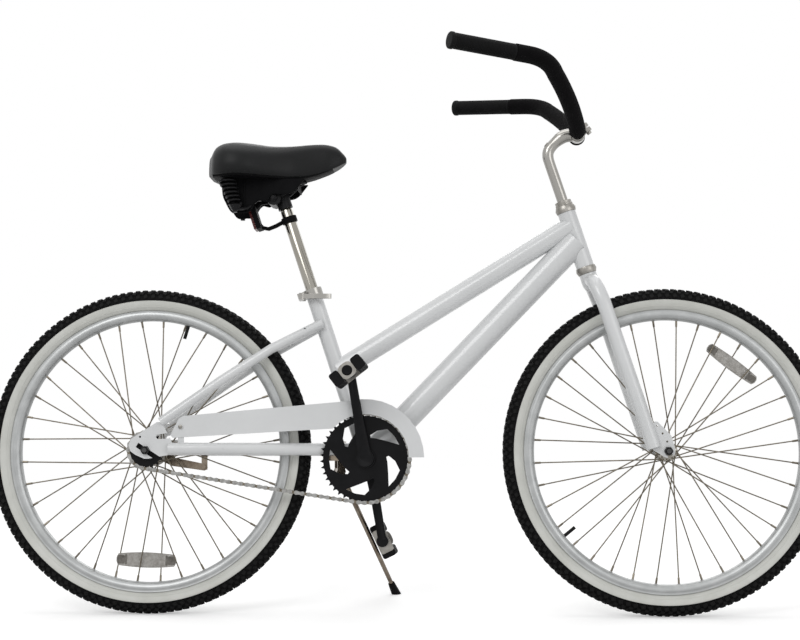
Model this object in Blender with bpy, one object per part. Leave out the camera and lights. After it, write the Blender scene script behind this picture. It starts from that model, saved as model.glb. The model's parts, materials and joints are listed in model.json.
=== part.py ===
"""A step-through bicycle with one speed and a coaster brake, standing on its kickstand.

Metres. +X is forward, +Y is the rider's left, +Z is up. The drive side faces -Y. Every piece is
modelled on the upright bicycle, measured from the rear axle, and one parent empty leans the whole
bicycle on to its kickstand.
"""
import math

import bmesh
import bpy
from mathutils import Matrix, Vector

for item in list(bpy.data.objects):
    bpy.data.objects.remove(item, do_unlink=True)

MM = 0.001
GAP = 0.3 * MM

# Stance and main frame sizes
LEAN = math.radians(6.86)
WHEELBASE = 1044 * MM
CRANK_AHEAD = 441.5 * MM
CRANK_DROP = 15 * MM
SEAT_ANGLE = math.radians(18.3)
HEAD_ANGLE = math.radians(18.4)
FORK_RAKE = 33 * MM
FORK_SPAN = 405 * MM
HEAD_TUBE_LENGTH = 118 * MM
HEAD_TUBE_D = 37 * MM
HEAD_TUBE_WALL = 3 * MM
SEAT_TUBE_LENGTH = 360 * MM
SEAT_TUBE_D = 31.8 * MM
SEAT_POST_D = 25.4 * MM
TOP_TUBE_D = 41.5 * MM
TOP_TUBE_WALL = 1.8 * MM
TOP_TUBE_ON_SEAT = 188 * MM
TOP_TUBE_ON_HEAD = 30 * MM
DOWN_TUBE_D = 54 * MM
DOWN_TUBE_WALL = 1.8 * MM
DOWN_TUBE_ON_HEAD = -3 * MM
SHELL_D = 57 * MM
SHELL_WALL = 3 * MM
SHELL_WIDTH = 68 * MM
SPINDLE_D = 24 * MM
CUP_LIP = 3 * MM

# Rear triangle
STAY_D = 25 * MM
STAY_WALL = 1.8 * MM
STAY_RISE = 3 * MM
STAY_START = 46 * MM
SEAT_STAY_D = 20 * MM
SEAT_STAY_WALL = 1.6 * MM
SEAT_STAY_FOOT_X = 30 * MM
SEAT_STAY_FOOT_Z = 56.5 * MM
SEAT_STAY_ON_SEAT = 288 * MM
SEAT_STAY_MIDDLE_X = 250 * MM
SEAT_STAY_MIDDLE_Z = 205 * MM
REAR_SPACING = 110 * MM
DROPOUT_PLATE = 5 * MM
BRIDGE_D = 12 * MM
STAY_BRIDGE_X = 351 * MM

# Wheels
TYRE_R = 328.5 * MM
TYRE_SECTION_R = 24.5 * MM
TYRE_WALL = 3.5 * MM
RIM_OUTER_R = 285.5 * MM
RIM_INNER_R = 264.7 * MM
RIM_HALF_WIDTH = 14.6 * MM
RIM_LIP = 2.6 * MM
RIM_FLOOR = 3 * MM
RIM_TAPER = 4 * MM
BEAD_R = 280 * MM
TUBE_R = 14 * MM
TUBE_WALL = 1.3 * MM
VALVE_D = 7 * MM
VALVE_TIP_R = 238 * MM
SPOKES_PER_SIDE = 18
SPOKE_D = 2 * MM
AXLE_D = 9.5 * MM
FRONT_SPACING = 100 * MM
FRONT_FLANGE_R = 20 * MM
FRONT_FLANGE_Y = 30 * MM
REAR_FLANGE_R = 31 * MM
REAR_FLANGE_Y = 30 * MM
FLANGE_THICK = 3 * MM
REFLECTOR_LENGTH = 122 * MM
REFLECTOR_HEIGHT = 32 * MM
REFLECTOR_THICK = 3.6 * MM
REFLECTOR_R = 221 * MM
NUT_ACROSS = 15 * MM
NUT_THICK = 8 * MM
AXLE_STUB = 4 * MM

# Drive
PITCH = 12.7 * MM
RING_TEETH = 44
COG_TEETH = 18
CHAIN_LINE = 47 * MM
TOOTH_THICK = 3 * MM
CHAIN_HALF_HEIGHT = 4.3 * MM
CHAIN_WIDTH = 9 * MM
CHAIN_SLOT = 4.4 * MM
CRANK_LENGTH = 171 * MM
CRANK_ANGLE = math.radians(99.4)
ARM_ROOT_Y = 58 * MM
ARM_END_Y = 74 * MM
ARM_THICK = 12.6 * MM
PEDAL_AXLE_D = 10 * MM
PEDAL_WIDTH = 92 * MM
PEDAL_GAP = 3 * MM
PEDAL_LENGTH = 73 * MM
BLOCK_LENGTH = 21 * MM
BLOCK_HEIGHT = 29 * MM
PEDAL_PLATE = 3 * MM
PEDAL_BARREL_D = 20 * MM
RIGHT_PEDAL_TILT = math.radians(38)
LEFT_PEDAL_TILT = math.radians(-64)

# Chain guard
GUARD_Y = 57 * MM
GUARD_SHEET = 1.5 * MM
GUARD_FLANGE = 12 * MM
GUARD_OUTER_R = 118 * MM
GUARD_INNER_R = 88 * MM
GUARD_BOSS_ON_SEAT = 108 * MM
GUARD_BOSS_D = 10 * MM
GUARD_SCREW_X = 71 * MM
GUARD_SCREW_Z = 47 * MM

# Headset, fork and steering
STEERER_D = 25.4 * MM
QUILL_D = 22.2 * MM
CUP_D = 43 * MM
CUP_HEIGHT = 14 * MM
LOCKNUT_D = 34 * MM
LOCKNUT_HEIGHT = 10 * MM
BLADE_D = 30 * MM
BLADE_WALL = 1.8 * MM
BLADE_AHEAD = 8 * MM
BLADE_END = 15 * MM
FORK_END_PLATE = 4 * MM
STEM_RISE = 169.5 * MM
STEM_REACH = 72 * MM
STEM_CLAMP_UP = 203.5 * MM
STEM_CLAMP_WIDTH = 36 * MM
STEM_CLAMP_D = 34 * MM
QUILL_BOTTOM = 5 * MM
BAR_D = 22.2 * MM
FOAM_D = 34 * MM
GRIP_D = 32 * MM
GRIP_LENGTH = 134 * MM
BAR_BEND = Vector((806, 221.5, 753.3)) * MM
BAR_END = Vector((617.4, 311, 769.1)) * MM
BAR_BEND_RADIUS = 45 * MM
BAR_STRAIGHT = 27 * MM
BAR_BULGE = 9 * MM

# Saddle and seat post
POST_LENGTH = 300 * MM
POST_SHOWN = 175 * MM
POST_NECK = 32 * MM
POST_NECK_D = 22.2 * MM
POST_WALL = 2 * MM
COLLAR_HEIGHT = 16 * MM
COLLAR_D = 39 * MM
SADDLE_LENGTH = 279 * MM
SADDLE_WIDTH = 208 * MM
SADDLE_REAR_X = 118 * MM
SADDLE_TOP_Z = 635 * MM
SADDLE_BOTTOM_Z = 555 * MM
BASE_THICK = 5 * MM
RAIL_D = 7 * MM
RAIL_SIDE = 22 * MM
SPRING_X = 176 * MM
SPRING_TOP_X = 158 * MM
SPRING_SIDE = 58 * MM
SPRING_SEAT_Z = 497 * MM
SPRING_TURNS = 4
SPRING_WIRE_D = 4 * MM
SPRING_TOP_R = 17 * MM
SPRING_FOOT_R = 12 * MM
CLAMP_PIVOT = Vector((250, 0, 515)) * MM
CLAMP_DISC_D = 30 * MM
CLAMP_BOLT_D = 8 * MM

# Kickstand
STAND_PIVOT = Vector((384, 34, -40)) * MM
STAND_FOOT_X = 489 * MM
STAND_FOOT_Y = 224 * MM
STAND_TOP_D = 11.5 * MM
STAND_LOW_D = 9 * MM
STAND_BARREL_D = 17 * MM
FOOT_LENGTH = 27 * MM
FOOT_D = 21 * MM
FOOT_NECK_D = 14 * MM

# Facets
ROUND = 12
TURN = math.radians(3.7)
WHEEL_SEGMENTS = 28

X = Vector((1, 0, 0))
Y = Vector((0, 1, 0))
Z = Vector((0, 0, 1))
REAR_AXLE = Vector((0, 0, 0))
FRONT_AXLE = Vector((WHEELBASE, 0, 0))
CRANK = Vector((CRANK_AHEAD, 0, -CRANK_DROP))
STEER_UP = Vector((-math.sin(HEAD_ANGLE), 0, math.cos(HEAD_ANGLE)))
STEER_AHEAD = Vector((math.cos(HEAD_ANGLE), 0, math.sin(HEAD_ANGLE)))
SEAT_UP = Vector((-math.sin(SEAT_ANGLE), 0, math.cos(SEAT_ANGLE)))
SEAT_AHEAD = Vector((math.cos(SEAT_ANGLE), 0, math.sin(SEAT_ANGLE)))
HEAD_HALF = HEAD_TUBE_LENGTH / 2
HEAD_MIDDLE = FRONT_AXLE - STEER_AHEAD * FORK_RAKE + STEER_UP * (FORK_SPAN + HEAD_HALF)
AXLE_BELOW_HEAD = -(FORK_SPAN + HEAD_HALF)


def steer_point(ahead, side, up):
    """A point given from the middle of the head tube, along and across the steering axis."""
    return HEAD_MIDDLE + STEER_AHEAD * ahead + Y * side + STEER_UP * up


def seat_point(ahead, side, up):
    """A point given from the crank's centre, along and across the seat tube."""
    return CRANK + SEAT_AHEAD * ahead + Y * side + SEAT_UP * up


bike = bpy.data.objects.new("bicycle", None)
bpy.context.scene.collection.objects.link(bike)


# Materials
def material(name, colour, roughness, metallic=0.0):
    made = bpy.data.materials.new(name)
    made.use_nodes = True
    shader = made.node_tree.nodes["Principled BSDF"]
    shader.inputs["Base Color"].default_value = (*colour, 1.0)
    shader.inputs["Roughness"].default_value = roughness
    shader.inputs["Metallic"].default_value = metallic
    made.diffuse_color = (*colour, 1.0)
    return made


LOOKS = {
    "white": ((0.80, 0.81, 0.81), 0.25, 0.0),
    "chrome": ((0.75, 0.74, 0.72), 0.12, 1.0),
    "steel": ((0.55, 0.54, 0.52), 0.35, 1.0),
    "alloy": ((0.70, 0.71, 0.72), 0.35, 1.0),
    "black_metal": ((0.015, 0.015, 0.017), 0.35, 0.0),
    "black_plastic": ((0.02, 0.02, 0.02), 0.5, 0.0),
    "rubber": ((0.018, 0.018, 0.018), 0.75, 0.0),
    "foam": ((0.012, 0.012, 0.013), 0.9, 0.0),
    "vinyl": ((0.014, 0.014, 0.015), 0.4, 0.0),
    "clear": ((0.75, 0.76, 0.76), 0.1, 0.0),
    "red": ((0.35, 0.01, 0.01), 0.2, 0.0),
}


# Shape helpers
def finish(name, bm, look="steel", origin=None, sharp=35):
    """Makes an object of a bmesh, with its origin where the piece turns or sits."""
    bmesh.ops.recalc_face_normals(bm, faces=bm.faces)
    place = Vector(origin) if origin is not None else Vector((0, 0, 0))
    bmesh.ops.translate(bm, verts=bm.verts, vec=-place)
    mesh = bpy.data.meshes.new(name)
    bm.to_mesh(mesh)
    bm.free()
    mesh.shade_smooth()
    mesh.set_sharp_from_angle(angle=math.radians(sharp))
    made = bpy.data.objects.new(name, mesh)
    bpy.context.scene.collection.objects.link(made)
    made.parent = bike
    made.location = place
    mesh.materials.append(material(name + "_look", *LOOKS[look]))
    return made


def tool(name, bm):
    """A hidden shape that other pieces are cut by or joined with."""
    made = finish(name, bm)
    made.hide_render = True
    made.display_type = "WIRE"
    return made


def combine(piece, other, operation):
    step = piece.modifiers.new(operation.lower() + "_" + other.name, "BOOLEAN")
    step.operation = operation
    step.solver = "EXACT"
    step.object = other
    return piece


def cut(piece, *others):
    for other in others:
        combine(piece, other, "DIFFERENCE")
    return piece


def join(piece, *others):
    for other in others:
        combine(piece, other, "UNION")
    return piece


def across(axis):
    """Two directions square to an axis."""
    axis = axis.normalized()
    side = Z.cross(axis) if abs(axis.dot(Z)) < 0.9 else X.cross(axis)
    side.normalize()
    return side, axis.cross(side)


def skin(bm, rings, around=True, along=False):
    """Quads between successive rings of vertices, or triangles to a single vertex."""
    count = len(rings)
    for index in range(count if along else count - 1):
        low, high = rings[index], rings[(index + 1) % count]
        size = max(len(low), len(high))
        for step in range(size if around else size - 1):
            after = (step + 1) % size
            corners = []
            for ring, order in ((low, (step, after)), (high, (after, step))):
                for pick in order:
                    corner = ring[pick % len(ring)]
                    if corner not in corners:
                        corners.append(corner)
            if len(corners) > 2:
                bm.faces.new(corners)


def revolve(bm, profile, origin, axis, segments=ROUND, start=0.0, stretch=1.0, side=None):
    """Turns (radius, height) points about an axis. A profile that starts and ends on the
    axis is a solid, and any other is closed on itself as a ring."""
    axis = axis.normalized()
    one, two = across(axis) if side is None else (side, axis.cross(side))
    rings = []
    for radius, height in profile:
        centre = origin + axis * height
        if radius < 1e-9:
            rings.append([bm.verts.new(centre)])
            continue
        ring = []
        for step in range(segments):
            angle = start + 2 * math.pi * step / segments
            way = one * math.cos(angle) + two * math.sin(angle)
            ring.append(bm.verts.new(centre + way * radius * stretch))
        rings.append(ring)
    solid = profile[0][0] < 1e-9 and profile[-1][0] < 1e-9
    skin(bm, rings, along=not solid)
    return bm


def rod(bm, start, end, radius, sides=ROUND, end_radius=None, bore=0.0, spin=0.0):
    """A straight round bar, or a pipe with a bore, between two points."""
    length = (end - start).length
    tip = radius if end_radius is None else end_radius
    if bore:
        profile = [(bore, 0), (radius, 0), (tip, length), (bore, length)]
    else:
        profile = [(0, 0), (radius, 0), (tip, length), (0, length)]
    return revolve(bm, profile, start, end - start, sides, spin)


def sweep(bm, points, radius, sides=ROUND, bore=0.0, lead=None):
    """A round tube along points, with flat ends. radius may be one value or one a point."""
    count = len(points)
    radii = list(radius) if isinstance(radius, (list, tuple)) else [radius] * count
    ways = []
    for index in range(count):
        before = points[max(index - 1, 0)]
        after = points[min(index + 1, count - 1)]
        ways.append((after - before).normalized())
    one = across(ways[0])[0] if lead is None else lead
    outer = []
    inner = []
    for index in range(count):
        way = ways[index]
        one = (one - way * one.dot(way)).normalized()
        two = way.cross(one)
        for rings, size in ((outer, radii[index]), (inner, bore)):
            if size <= 0:
                continue
            ring = []
            for step in range(sides):
                angle = 2 * math.pi * step / sides
                place = points[index] + (one * math.cos(angle) + two * math.sin(angle)) * size
                ring.append(bm.verts.new(place))
            rings.append(ring)
    if inner:
        skin(bm, outer + inner[::-1], along=True)
    else:
        start = bm.verts.new(points[0])
        end = bm.verts.new(points[-1])
        skin(bm, [[start]] + outer + [[end]])
    return bm


def smooth_path(points, parts=6):
    """Points on a smooth curve through the given points."""
    made = []
    count = len(points)
    for index in range(count - 1):
        p0 = points[max(index - 1, 0)]
        p1 = points[index]
        p2 = points[index + 1]
        p3 = points[min(index + 2, count - 1)]
        for step in range(parts):
            t = step / parts
            made.append(0.5 * ((2 * p1) + (p2 - p0) * t + (2 * p0 - 5 * p1 + 4 * p2 - p3) * t * t
                               + (3 * p1 - p0 - 3 * p2 + p3) * t * t * t))
    made.append(points[-1].copy())
    return made


def slab(bm, outline, place, one, two, low, high):
    """A flat plate: an outline in the plane of two directions, from low to high across it."""
    normal = one.cross(two).normalized()
    rings = []
    for height in (low, high):
        ring = [bm.verts.new(place + one * a + two * b + normal * height) for a, b in outline]
        rings.append(ring)
    skin(bm, rings)
    bm.faces.new(rings[0][::-1])
    bm.faces.new(rings[1])
    return bm


def hull(circles, steps=10):
    """The outline of a band stretched round circles given as (a, b, radius)."""
    points = []
    for a, b, radius in circles:
        for step in range(steps):
            angle = 2 * math.pi * step / steps
            points.append((a + radius * math.cos(angle), b + radius * math.sin(angle)))
    points.sort()

    def chain(items):
        kept = []
        for point in items:
            while len(kept) > 1:
                (ax, ay), (bx, by) = kept[-2], kept[-1]
                if (bx - ax) * (point[1] - ay) - (by - ay) * (point[0] - ax) > 1e-12:
                    break
                kept.pop()
            kept.append(point)
        return kept[:-1]

    return chain(points) + chain(points[::-1])


def block(bm, place, one, two, sizes):
    """A box with its middle at a place and its sides along one, two and their normal."""
    a, b, c = (size / 2 for size in sizes)
    return slab(bm, [(-a, -b), (a, -b), (a, b), (-a, b)], place, one, two, -c, c)


def new():
    return bmesh.new()


# Cutters shared by the tubes that meet a round one
cut_shell = tool("cut_shell", rod(new(), CRANK - Y * SHELL_WIDTH, CRANK + Y * SHELL_WIDTH,
                                  SHELL_D / 2 + GAP, 16))
cut_seat = tool("cut_seat", rod(new(), CRANK, seat_point(0, 0, SEAT_TUBE_LENGTH + STAY_D),
                                SEAT_TUBE_D / 2 + GAP, 16))
cut_head = tool("cut_head", rod(new(), steer_point(0, 0, -HEAD_TUBE_LENGTH),
                                steer_point(0, 0, HEAD_TUBE_LENGTH), HEAD_TUBE_D / 2 + GAP, 16))
down_top = steer_point(0, 0, DOWN_TUBE_ON_HEAD)
cut_down = tool("cut_down", rod(new(), CRANK, down_top, DOWN_TUBE_D / 2 + GAP, 18, spin=TURN))

# Main frame tubes
shell_half = Y * (SHELL_WIDTH / 2)
finish("bottom_bracket_shell", rod(new(), CRANK - shell_half, CRANK + shell_half, SHELL_D / 2, 16,
                                   bore=SHELL_D / 2 - SHELL_WALL), "white")

cartridge_r = SHELL_D / 2 - SHELL_WALL - GAP
cup_out = SHELL_WIDTH / 2 + GAP
spindle_bore = SPINDLE_D / 2 + GAP
finish("bottom_bracket_cartridge", revolve(new(), [
    (spindle_bore, -cup_out - CUP_LIP), (SHELL_D / 2 - MM, -cup_out - CUP_LIP), (SHELL_D / 2 - MM, -cup_out),
    (cartridge_r, -cup_out), (spindle_bore + 5 * MM, 0), (cartridge_r, cup_out),
    (SHELL_D / 2 - MM, cup_out), (SHELL_D / 2 - MM, cup_out + CUP_LIP), (spindle_bore, cup_out + CUP_LIP)],
    CRANK, Y, 16), "steel")

post_bore = SEAT_POST_D / 2 + GAP
seat_tube = finish("seat_tube", rod(new(), CRANK, seat_point(0, 0, SEAT_TUBE_LENGTH), SEAT_TUBE_D / 2, 16,
                                    bore=post_bore), "white")
cut(seat_tube, cut_shell)
boss_start = seat_point(0, -(SEAT_TUBE_D / 2 - 1.5 * MM), GUARD_BOSS_ON_SEAT)
boss_end = seat_point(0, -GUARD_Y + GAP, GUARD_BOSS_ON_SEAT)
join(seat_tube, tool("guard_boss", rod(new(), boss_start, boss_end, GUARD_BOSS_D / 2, 12)))

head_tube = finish("head_tube", rod(new(), steer_point(0, 0, -HEAD_HALF), steer_point(0, 0, HEAD_HALF),
                                    HEAD_TUBE_D / 2, 16, bore=HEAD_TUBE_D / 2 - HEAD_TUBE_WALL), "white")

top_low = seat_point(0, 0, TOP_TUBE_ON_SEAT)
top_high = steer_point(0, 0, TOP_TUBE_ON_HEAD)
top_tube = finish("top_tube", rod(new(), top_low, top_high, TOP_TUBE_D / 2, 16,
                                  bore=TOP_TUBE_D / 2 - TOP_TUBE_WALL, spin=TURN), "white")
cut(top_tube, cut_seat, cut_head, cut_down)

down_tube = finish("down_tube", rod(new(), CRANK, down_top, DOWN_TUBE_D / 2, 18,
                                    bore=DOWN_TUBE_D / 2 - DOWN_TUBE_WALL, spin=TURN), "white")
cut(down_tube, cut_shell, cut_seat, cut_head)

# Chain stays with their dropouts, bridge and chain guard tab
dropout_y = REAR_SPACING / 2 + DROPOUT_PLATE / 2
slot_half = AXLE_D / 2 + GAP


def stay_route(side):
    return [Vector((STAY_START, side * dropout_y, STAY_RISE)), Vector((250 * MM, side * 49 * MM, STAY_RISE)),
            Vector((338 * MM, side * 33 * MM, STAY_RISE)),
            Vector((CRANK_AHEAD - 12 * MM, side * 24 * MM, STAY_RISE))]


chain_stays = None
dropout_circles = [(-14, 10, 20), (2, -5, 12.5), (46, 3, 12.2), (26, 46, 11)]
for hand, side in (("right", -1), ("left", 1)):
    stay = sweep(new(), stay_route(side), STAY_D / 2, ROUND, STAY_D / 2 - STAY_WALL)
    plate = new()
    outline = hull([(a * MM, b * MM, r * MM) for a, b, r in dropout_circles])
    slab(plate, outline, Y * (side * dropout_y), X, -Z * -1, -DROPOUT_PLATE / 2, DROPOUT_PLATE / 2)
    stay_name = "stay_" + hand
    if chain_stays is None:
        chain_stays = finish("chain_stays", stay, "white")
    else:
        join(chain_stays, tool(stay_name, stay))
    join(chain_stays, tool("dropout_" + hand, plate))
bridge = rod(new(), Vector((STAY_BRIDGE_X, -29 * MM, STAY_RISE)), Vector((STAY_BRIDGE_X, 29 * MM, STAY_RISE)),
             BRIDGE_D / 2, 8)
tab = block(new(), Vector((GUARD_SCREW_X, -GUARD_Y + 1.5 * MM + GAP, 33 * MM)), X, Z, (12 * MM, 42 * MM, 3 * MM))
join(chain_stays, tool("stay_bridge", bridge), tool("guard_tab", tab))
slots = new()
for side in (-1, 1):
    slot_way = Vector((0.84, 0, -0.54)).normalized()
    start = REAR_AXLE - slot_way * 15 * MM + Y * (side * dropout_y)
    lane = [(-slot_half, -slot_half), (48 * MM, -slot_half), (48 * MM, slot_half), (-slot_half, slot_half)]
    slab(slots, lane, start, slot_way, Y.cross(slot_way), -DROPOUT_PLATE, DROPOUT_PLATE)
    window = hull([(26 * MM, 27 * MM, 5 * MM), (44 * MM, 29 * MM, 6 * MM)], 6)
    slab(slots, window, Y * (side * dropout_y), X, Z, -DROPOUT_PLATE, DROPOUT_PLATE)
    eyelet = Vector((-11 * MM, side * dropout_y, 27 * MM))
    rod(slots, eyelet - Y * DROPOUT_PLATE, eyelet + Y * DROPOUT_PLATE, 2.4 * MM, 6)
cut(chain_stays, cut_shell, cut_seat, tool("dropout_slots", slots))

# Seat stays with their bridge
stay_top = seat_point(0, 0, SEAT_STAY_ON_SEAT)
foot_plate_gap = DROPOUT_PLATE / 2 + GAP
seat_stays = None
for side in (-1, 1):
    foot = Vector((SEAT_STAY_FOOT_X, side * dropout_y, SEAT_STAY_FOOT_Z))
    middle = Vector((SEAT_STAY_MIDDLE_X, side * 42 * MM, SEAT_STAY_MIDDLE_Z))
    route = [foot, foot + (middle - foot) * 0.55 + Z * 3 * MM, middle, Vector((stay_top.x, side * 19 * MM, stay_top.z))]
    stay = sweep(new(), route, SEAT_STAY_D / 2, 10, SEAT_STAY_D / 2 - SEAT_STAY_WALL)
    if seat_stays is None:
        seat_stays = finish("seat_stays", stay, "white")
    else:
        join(seat_stays, tool("seat_stay_left", stay))
    at_bridge = route[2] + (route[3] - route[2]) * 0.3
bridge_half = Y * (at_bridge.y - SEAT_STAY_D / 2 + 1.2 * MM + 3 * MM)
bridge_middle = Vector((at_bridge.x, 0, at_bridge.z))
join(seat_stays, tool("seat_stay_bridge", rod(new(), bridge_middle - bridge_half, bridge_middle + bridge_half,
                                              BRIDGE_D / 2, 8)))
plates = new()
for side in (-1, 1):
    slab(plates, hull([(a * MM, b * MM, r * MM + GAP) for a, b, r in dropout_circles]),
         Y * (side * dropout_y), X, Z, -foot_plate_gap, foot_plate_gap)
cut(seat_stays, cut_seat, tool("cut_plates", plates))

# Chain guard: a pressed sheet with a flange along its outer edge
guard_outer = []
rear_top = (75 * MM, 69 * MM)
guard_start = (66 * MM, 63 * MM)
for step in range(11):
    angle = math.radians(104 - 103 * step / 10)
    guard_outer.append((CRANK.x + GUARD_OUTER_R * math.cos(angle), CRANK.z + GUARD_OUTER_R * math.sin(angle)))
guard_inner = []
for step in range(11):
    angle = math.radians(1 + 137 * step / 10)
    guard_inner.append((CRANK.x + GUARD_INNER_R * math.cos(angle), CRANK.z + GUARD_INNER_R * math.sin(angle)))
edge = [guard_start, rear_top] + guard_outer
outline = edge + guard_inner + [(55 * MM, 25 * MM), (50 * MM, 30 * MM)]
guard = finish("chain_guard", slab(new(), outline, Y * -GUARD_Y, X, Z, 0, GUARD_SHEET), "white")
flange_edge = edge[1:]
inset = []
for index, (a, b) in enumerate(flange_edge):
    before = Vector(flange_edge[max(index - 1, 0)])
    after = Vector(flange_edge[min(index + 1, len(flange_edge) - 1)])
    way = (after - before).normalized()
    inset.append((a + way.y * GUARD_SHEET, b - way.x * GUARD_SHEET))
flange = slab(new(), flange_edge + inset[::-1], Y * -GUARD_Y, X, Z, -GUARD_FLANGE, GUARD_SHEET * 0.9)
screw = Vector((GUARD_SCREW_X, -GUARD_Y, GUARD_SCREW_Z))
head = rod(new(), screw - Y * (GUARD_SHEET * 0.5), screw - Y * (GUARD_SHEET + 2.2 * MM), 5 * MM, 10)
boss_head = rod(new(), boss_end - Y * (GUARD_SHEET * 0.5 + GAP), boss_end - Y * (GUARD_SHEET + GAP + 0.9 * MM),
                4 * MM, 10)
join(guard, tool("guard_flange", flange), tool("guard_screw", head), tool("guard_screw_front", boss_head))

# Chain: its side plates round the teeth, solid along the two straight runs
ring_r = PITCH / (2 * math.sin(math.pi / RING_TEETH))
cog_r = PITCH / (2 * math.sin(math.pi / COG_TEETH))
line = CRANK - REAR_AXLE
reach = math.hypot(line.x, line.z)
slope = math.atan2(line.z, line.x)
wrap = math.asin((ring_r - cog_r) / reach)


def chain_loop(offset):
    """The chain's path round both toothed wheels, moved out by an offset."""
    made = []
    for centre, radius, start, span, steps in (
            (CRANK, ring_r, slope - math.pi / 2 - wrap, math.pi + 2 * wrap, 16),
            (REAR_AXLE, cog_r, slope + math.pi / 2 + wrap, math.pi - 2 * wrap, 9)):
        for step in range(steps + 1):
            angle = start + span * step / steps
            made.append((centre.x + (radius + offset) * math.cos(angle),
                         centre.z + (radius + offset) * math.sin(angle)))
    return made


outer_loop = chain_loop(CHAIN_HALF_HEIGHT)
inner_loop = chain_loop(-CHAIN_HALF_HEIGHT)
band = new()
rings = []
for loop, height in ((outer_loop, -0.5), (outer_loop, 0.5), (inner_loop, 0.5), (inner_loop, -0.5)):
    rings.append([band.verts.new(Vector((a, -CHAIN_LINE + height * CHAIN_WIDTH, b))) for a, b in loop])
skin(band, rings, along=True)
chain = finish("chain", band, "steel")
tooth_tip = 2.4 * MM
grooves = new()
for centre, radius in ((CRANK, ring_r), (REAR_AXLE, cog_r)):
    middle = centre - Y * CHAIN_LINE
    rod(grooves, middle - Y * (CHAIN_SLOT / 2), middle + Y * (CHAIN_SLOT / 2), radius + tooth_tip + 1 * MM, 24)
cut(chain, tool("chain_grooves", grooves))


# Toothed wheels
def toothed(teeth, radius, phase):
    made = []
    step = 2 * math.pi / teeth
    for index in range(teeth):
        for share, height in ((-0.24, -4.0 * MM), (0.24, -4.0 * MM), (0.5, tooth_tip)):
            angle = phase + (index + share) * step
            made.append(((radius + height) * math.cos(angle), (radius + height) * math.sin(angle)))
    return made


ring_middle = CRANK - Y * CHAIN_LINE
chainring = finish("chainring", slab(new(), toothed(RING_TEETH, ring_r, 0), ring_middle, X, Z,
                                     -TOOTH_THICK / 2, TOOTH_THICK / 2), "black_metal", CRANK)
WINDOW_OUTER_R = 73 * MM
WINDOW_INNER_R = 42 * MM
WINDOWS = 5
windows = new()
for index in range(WINDOWS):
    turn = 2 * math.pi * index / WINDOWS
    outline = []
    for step in range(3):
        angle = turn + math.radians(22 + 31 * step / 2)
        outline.append((WINDOW_OUTER_R * math.cos(angle), WINDOW_OUTER_R * math.sin(angle)))
    for radius, degrees in ((WINDOW_OUTER_R * 0.82, 67), (WINDOW_INNER_R * 1.12, 78), (WINDOW_INNER_R, 76),
                            (WINDOW_INNER_R * 1.07, 62), (WINDOW_OUTER_R * 0.74, 40)):
        angle = turn + math.radians(degrees)
        outline.append((radius * math.cos(angle), radius * math.sin(angle)))
    slab(windows, outline, ring_middle, X, Z, -TOOTH_THICK, TOOTH_THICK)
rod(windows, ring_middle - Y * TOOTH_THICK, ring_middle + Y * TOOTH_THICK, SPINDLE_D / 2 + GAP, 14)
cut(chainring, tool("ring_windows", windows))

cog_middle = REAR_AXLE - Y * CHAIN_LINE
axle_bore = AXLE_D / 2 + GAP
hub_right = -(REAR_FLANGE_Y + 6 * MM)
sprocket = finish("rear_sprocket", slab(new(), toothed(COG_TEETH, cog_r, 0), cog_middle, X, Z,
                                        -TOOTH_THICK / 2, TOOTH_THICK / 2), "black_metal", REAR_AXLE)
driver = rod(new(), REAR_AXLE + Y * (hub_right - GAP), REAR_AXLE - Y * (REAR_SPACING / 2 - 2.5 * MM),
             15 * MM, 12)
driver_hole = rod(new(), REAR_AXLE - Y * 30 * MM, REAR_AXLE - Y * REAR_SPACING, axle_bore, 14)
cut(join(sprocket, tool("driver", driver)), tool("driver_hole", driver_hole))


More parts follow.
